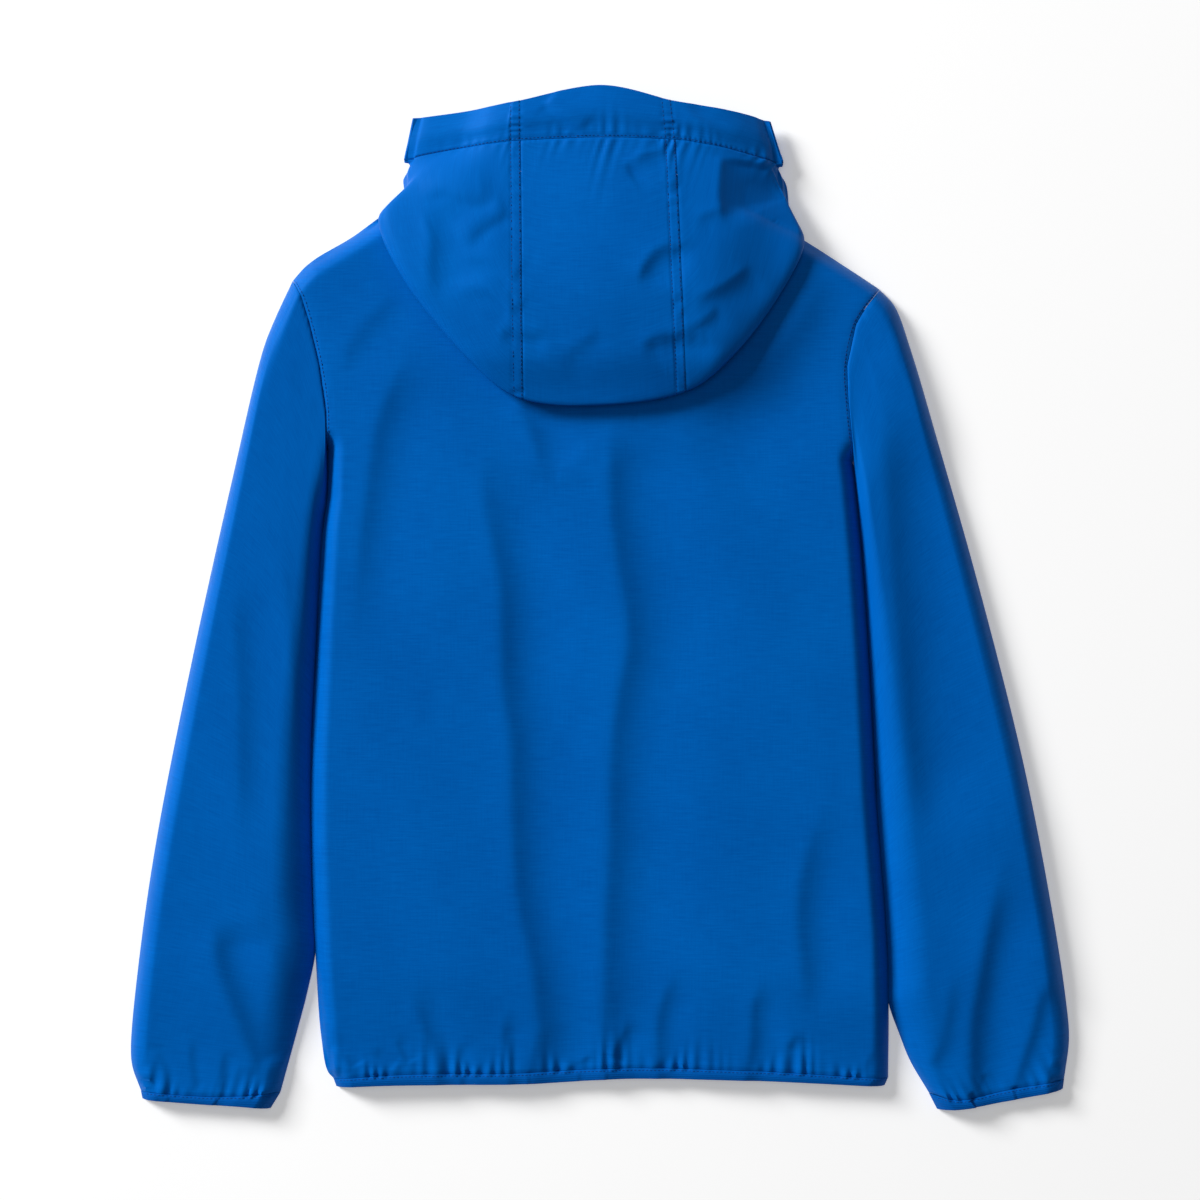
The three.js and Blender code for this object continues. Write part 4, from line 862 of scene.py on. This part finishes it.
def stitch_tree(thread):
    """A stitch at every pitch along each path"""
    tree = bpy.data.node_groups.new("stitches along paths", "GeometryNodeTree")
    tree.interface.new_socket("Geometry", in_out="INPUT", socket_type="NodeSocketGeometry")
    for name in STITCH:
        tree.interface.new_socket(name, in_out="INPUT", socket_type="NodeSocketFloat")
    tree.interface.new_socket("Geometry", in_out="OUTPUT", socket_type="NodeSocketGeometry")
    paths, result = tree.nodes.new("NodeGroupInput"), tree.nodes.new("NodeGroupOutput")
    curves = tree.nodes.new("GeometryNodeMeshToCurve")
    places = tree.nodes.new("GeometryNodeCurveToPoints")
    places.mode = "LENGTH"
    bead = tree.nodes.new("GeometryNodeMeshUVSphere")
    bead.inputs["Segments"].default_value, bead.inputs["Rings"].default_value = 6, 4
    bead.inputs["Radius"].default_value = 0.5
    size = tree.nodes.new("ShaderNodeCombineXYZ")
    placed = tree.nodes.new("GeometryNodeInstanceOnPoints")
    real = tree.nodes.new("GeometryNodeRealizeInstances")
    dressed = tree.nodes.new("GeometryNodeSetMaterial")
    dressed.inputs["Material"].default_value = thread
    for start, output, end, socket in (
        (paths, "Geometry", curves, "Mesh"), (curves, "Curve", places, "Curve"),
        (paths, "Pitch", places, "Length"), (places, "Points", placed, "Points"),
        (places, "Rotation", placed, "Rotation"), (bead, "Mesh", placed, "Instance"),
        (paths, "Thickness", size, "X"), (paths, "Thickness", size, "Y"),
        (paths, "Length", size, "Z"), (size, "Vector", placed, "Scale"),
        (placed, "Instances", real, "Geometry"), (real, "Geometry", dressed, "Geometry"),
        (dressed, "Geometry", result, "Geometry"),
    ):
        tree.links.new(start.outputs[output], end.inputs[socket])
    return tree


for name in ("twin_left", "twin_right"):
    for beside in TWIN_ROWS:
        sewn_rows.append(hood_row(name, beside, np.linspace(3.1, 6.95, 90), False))
        sewn_rows.append(hood_row(name, beside, np.linspace(7.06, 8.95, 30), True))
over_brim = spread(LINE["side_left_corner"], 160, LINE["side_right_corner"])
brim_row, _ = hood_surface(over_brim, np.array([NET_SEAM + BRIM_ROW]), True)
sewn_rows.append(brim_row[:, 0] + [0, 0, ROW_LIFT])
for side, inward in (("left", 1), ("right", -1)):
    row = along(smooth_path(ARMHOLE[side]), np.linspace(0.02, 0.98, 70)) + [ARMHOLE_ROW * inward, 0]
    x, y = row.T
    height = back_surface(x, y) - seam_valley(ARMHOLE_ROW, y) + ARMHOLE_LIFT
    sewn_rows.append(np.column_stack([row, height]))
points, edges = [], []
for row in sewn_rows:
    edges += [(len(points) + i, len(points) + i + 1) for i in range(len(row) - 1)]
    points += (row * 0.001).tolist()
mesh = bpy.data.meshes.new("stitch paths")
mesh.from_pydata(points, edges, [])
stitches = bpy.data.objects.new("seam_stitches", mesh)
bpy.context.collection.objects.link(stitches)
modifier = stitches.modifiers.new("stitches", "NODES")
modifier.node_group = stitch_tree(thread_with_painted_shade())
for socket in modifier.node_group.interface.items_tree:
    if socket.in_out == "INPUT" and socket.name in STITCH:
        modifier[socket.identifier] = STITCH[socket.name]
sewn = stitches.evaluated_get(bpy.context.evaluated_depsgraph_get())
stitches.data = bpy.data.meshes.new_from_object(sewn)
stitches.modifiers.clear()
stitches.data.shade_smooth()
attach(stitches, "root")

# Studio: the garment lies on a plain white table under a large soft light low at the upper left and a
# weaker one overhead, and the camera looks straight down on it.
bpy.ops.mesh.primitive_plane_add(size=6, location=(0, 0, -0.0005))
table = bpy.context.object
table.name = "table"
white = bpy.data.materials.new("white studio table")
white.use_nodes = True
shader = white.node_tree.nodes["Principled BSDF"]
shader.inputs["Base Color"].default_value = (0.92, 0.92, 0.92, 1)
shader.inputs["Roughness"].default_value = 0.9
shader.inputs["Specular IOR Level"].default_value = 0.1
shader.inputs["Emission Color"].default_value = (1, 1, 1, 1)
shader.inputs["Emission Strength"].default_value = 0.27
table.data.materials.append(white)

world = bpy.data.worlds.new("studio")
bpy.context.scene.world = world
world.use_nodes = True
world.node_tree.nodes["Background"].inputs["Color"].default_value = (1, 1, 1, 1)
world.node_tree.nodes["Background"].inputs["Strength"].default_value = 0.12


def area_light(name, place, size, watts):
    """A square light that points at the middle of the table"""
    light = bpy.data.lights.new(name, "AREA")
    light.shape, light.size, light.energy = "SQUARE", size, watts
    made = bpy.data.objects.new(name, light)
    bpy.context.collection.objects.link(made)
    made.location = place
    made.rotation_euler = (-Vector(place)).to_track_quat("-Z", "Y").to_euler()


area_light("key light", (-5.9, 3.9, 3.45), 2.6, 810)
area_light("soft overhead light", (-0.6, 0.4, 5.5), 3.0, 38)

CAMERA_HEIGHT = 2.548
camera = bpy.data.objects.new("camera", bpy.data.cameras.new("camera"))
bpy.context.collection.objects.link(camera)
camera.data.lens = 100
camera.data.sensor_width = 36
camera.location = (0, 0, CAMERA_HEIGHT)
bpy.context.scene.camera = camera
bpy.context.scene.view_settings.view_transform = "Standard"
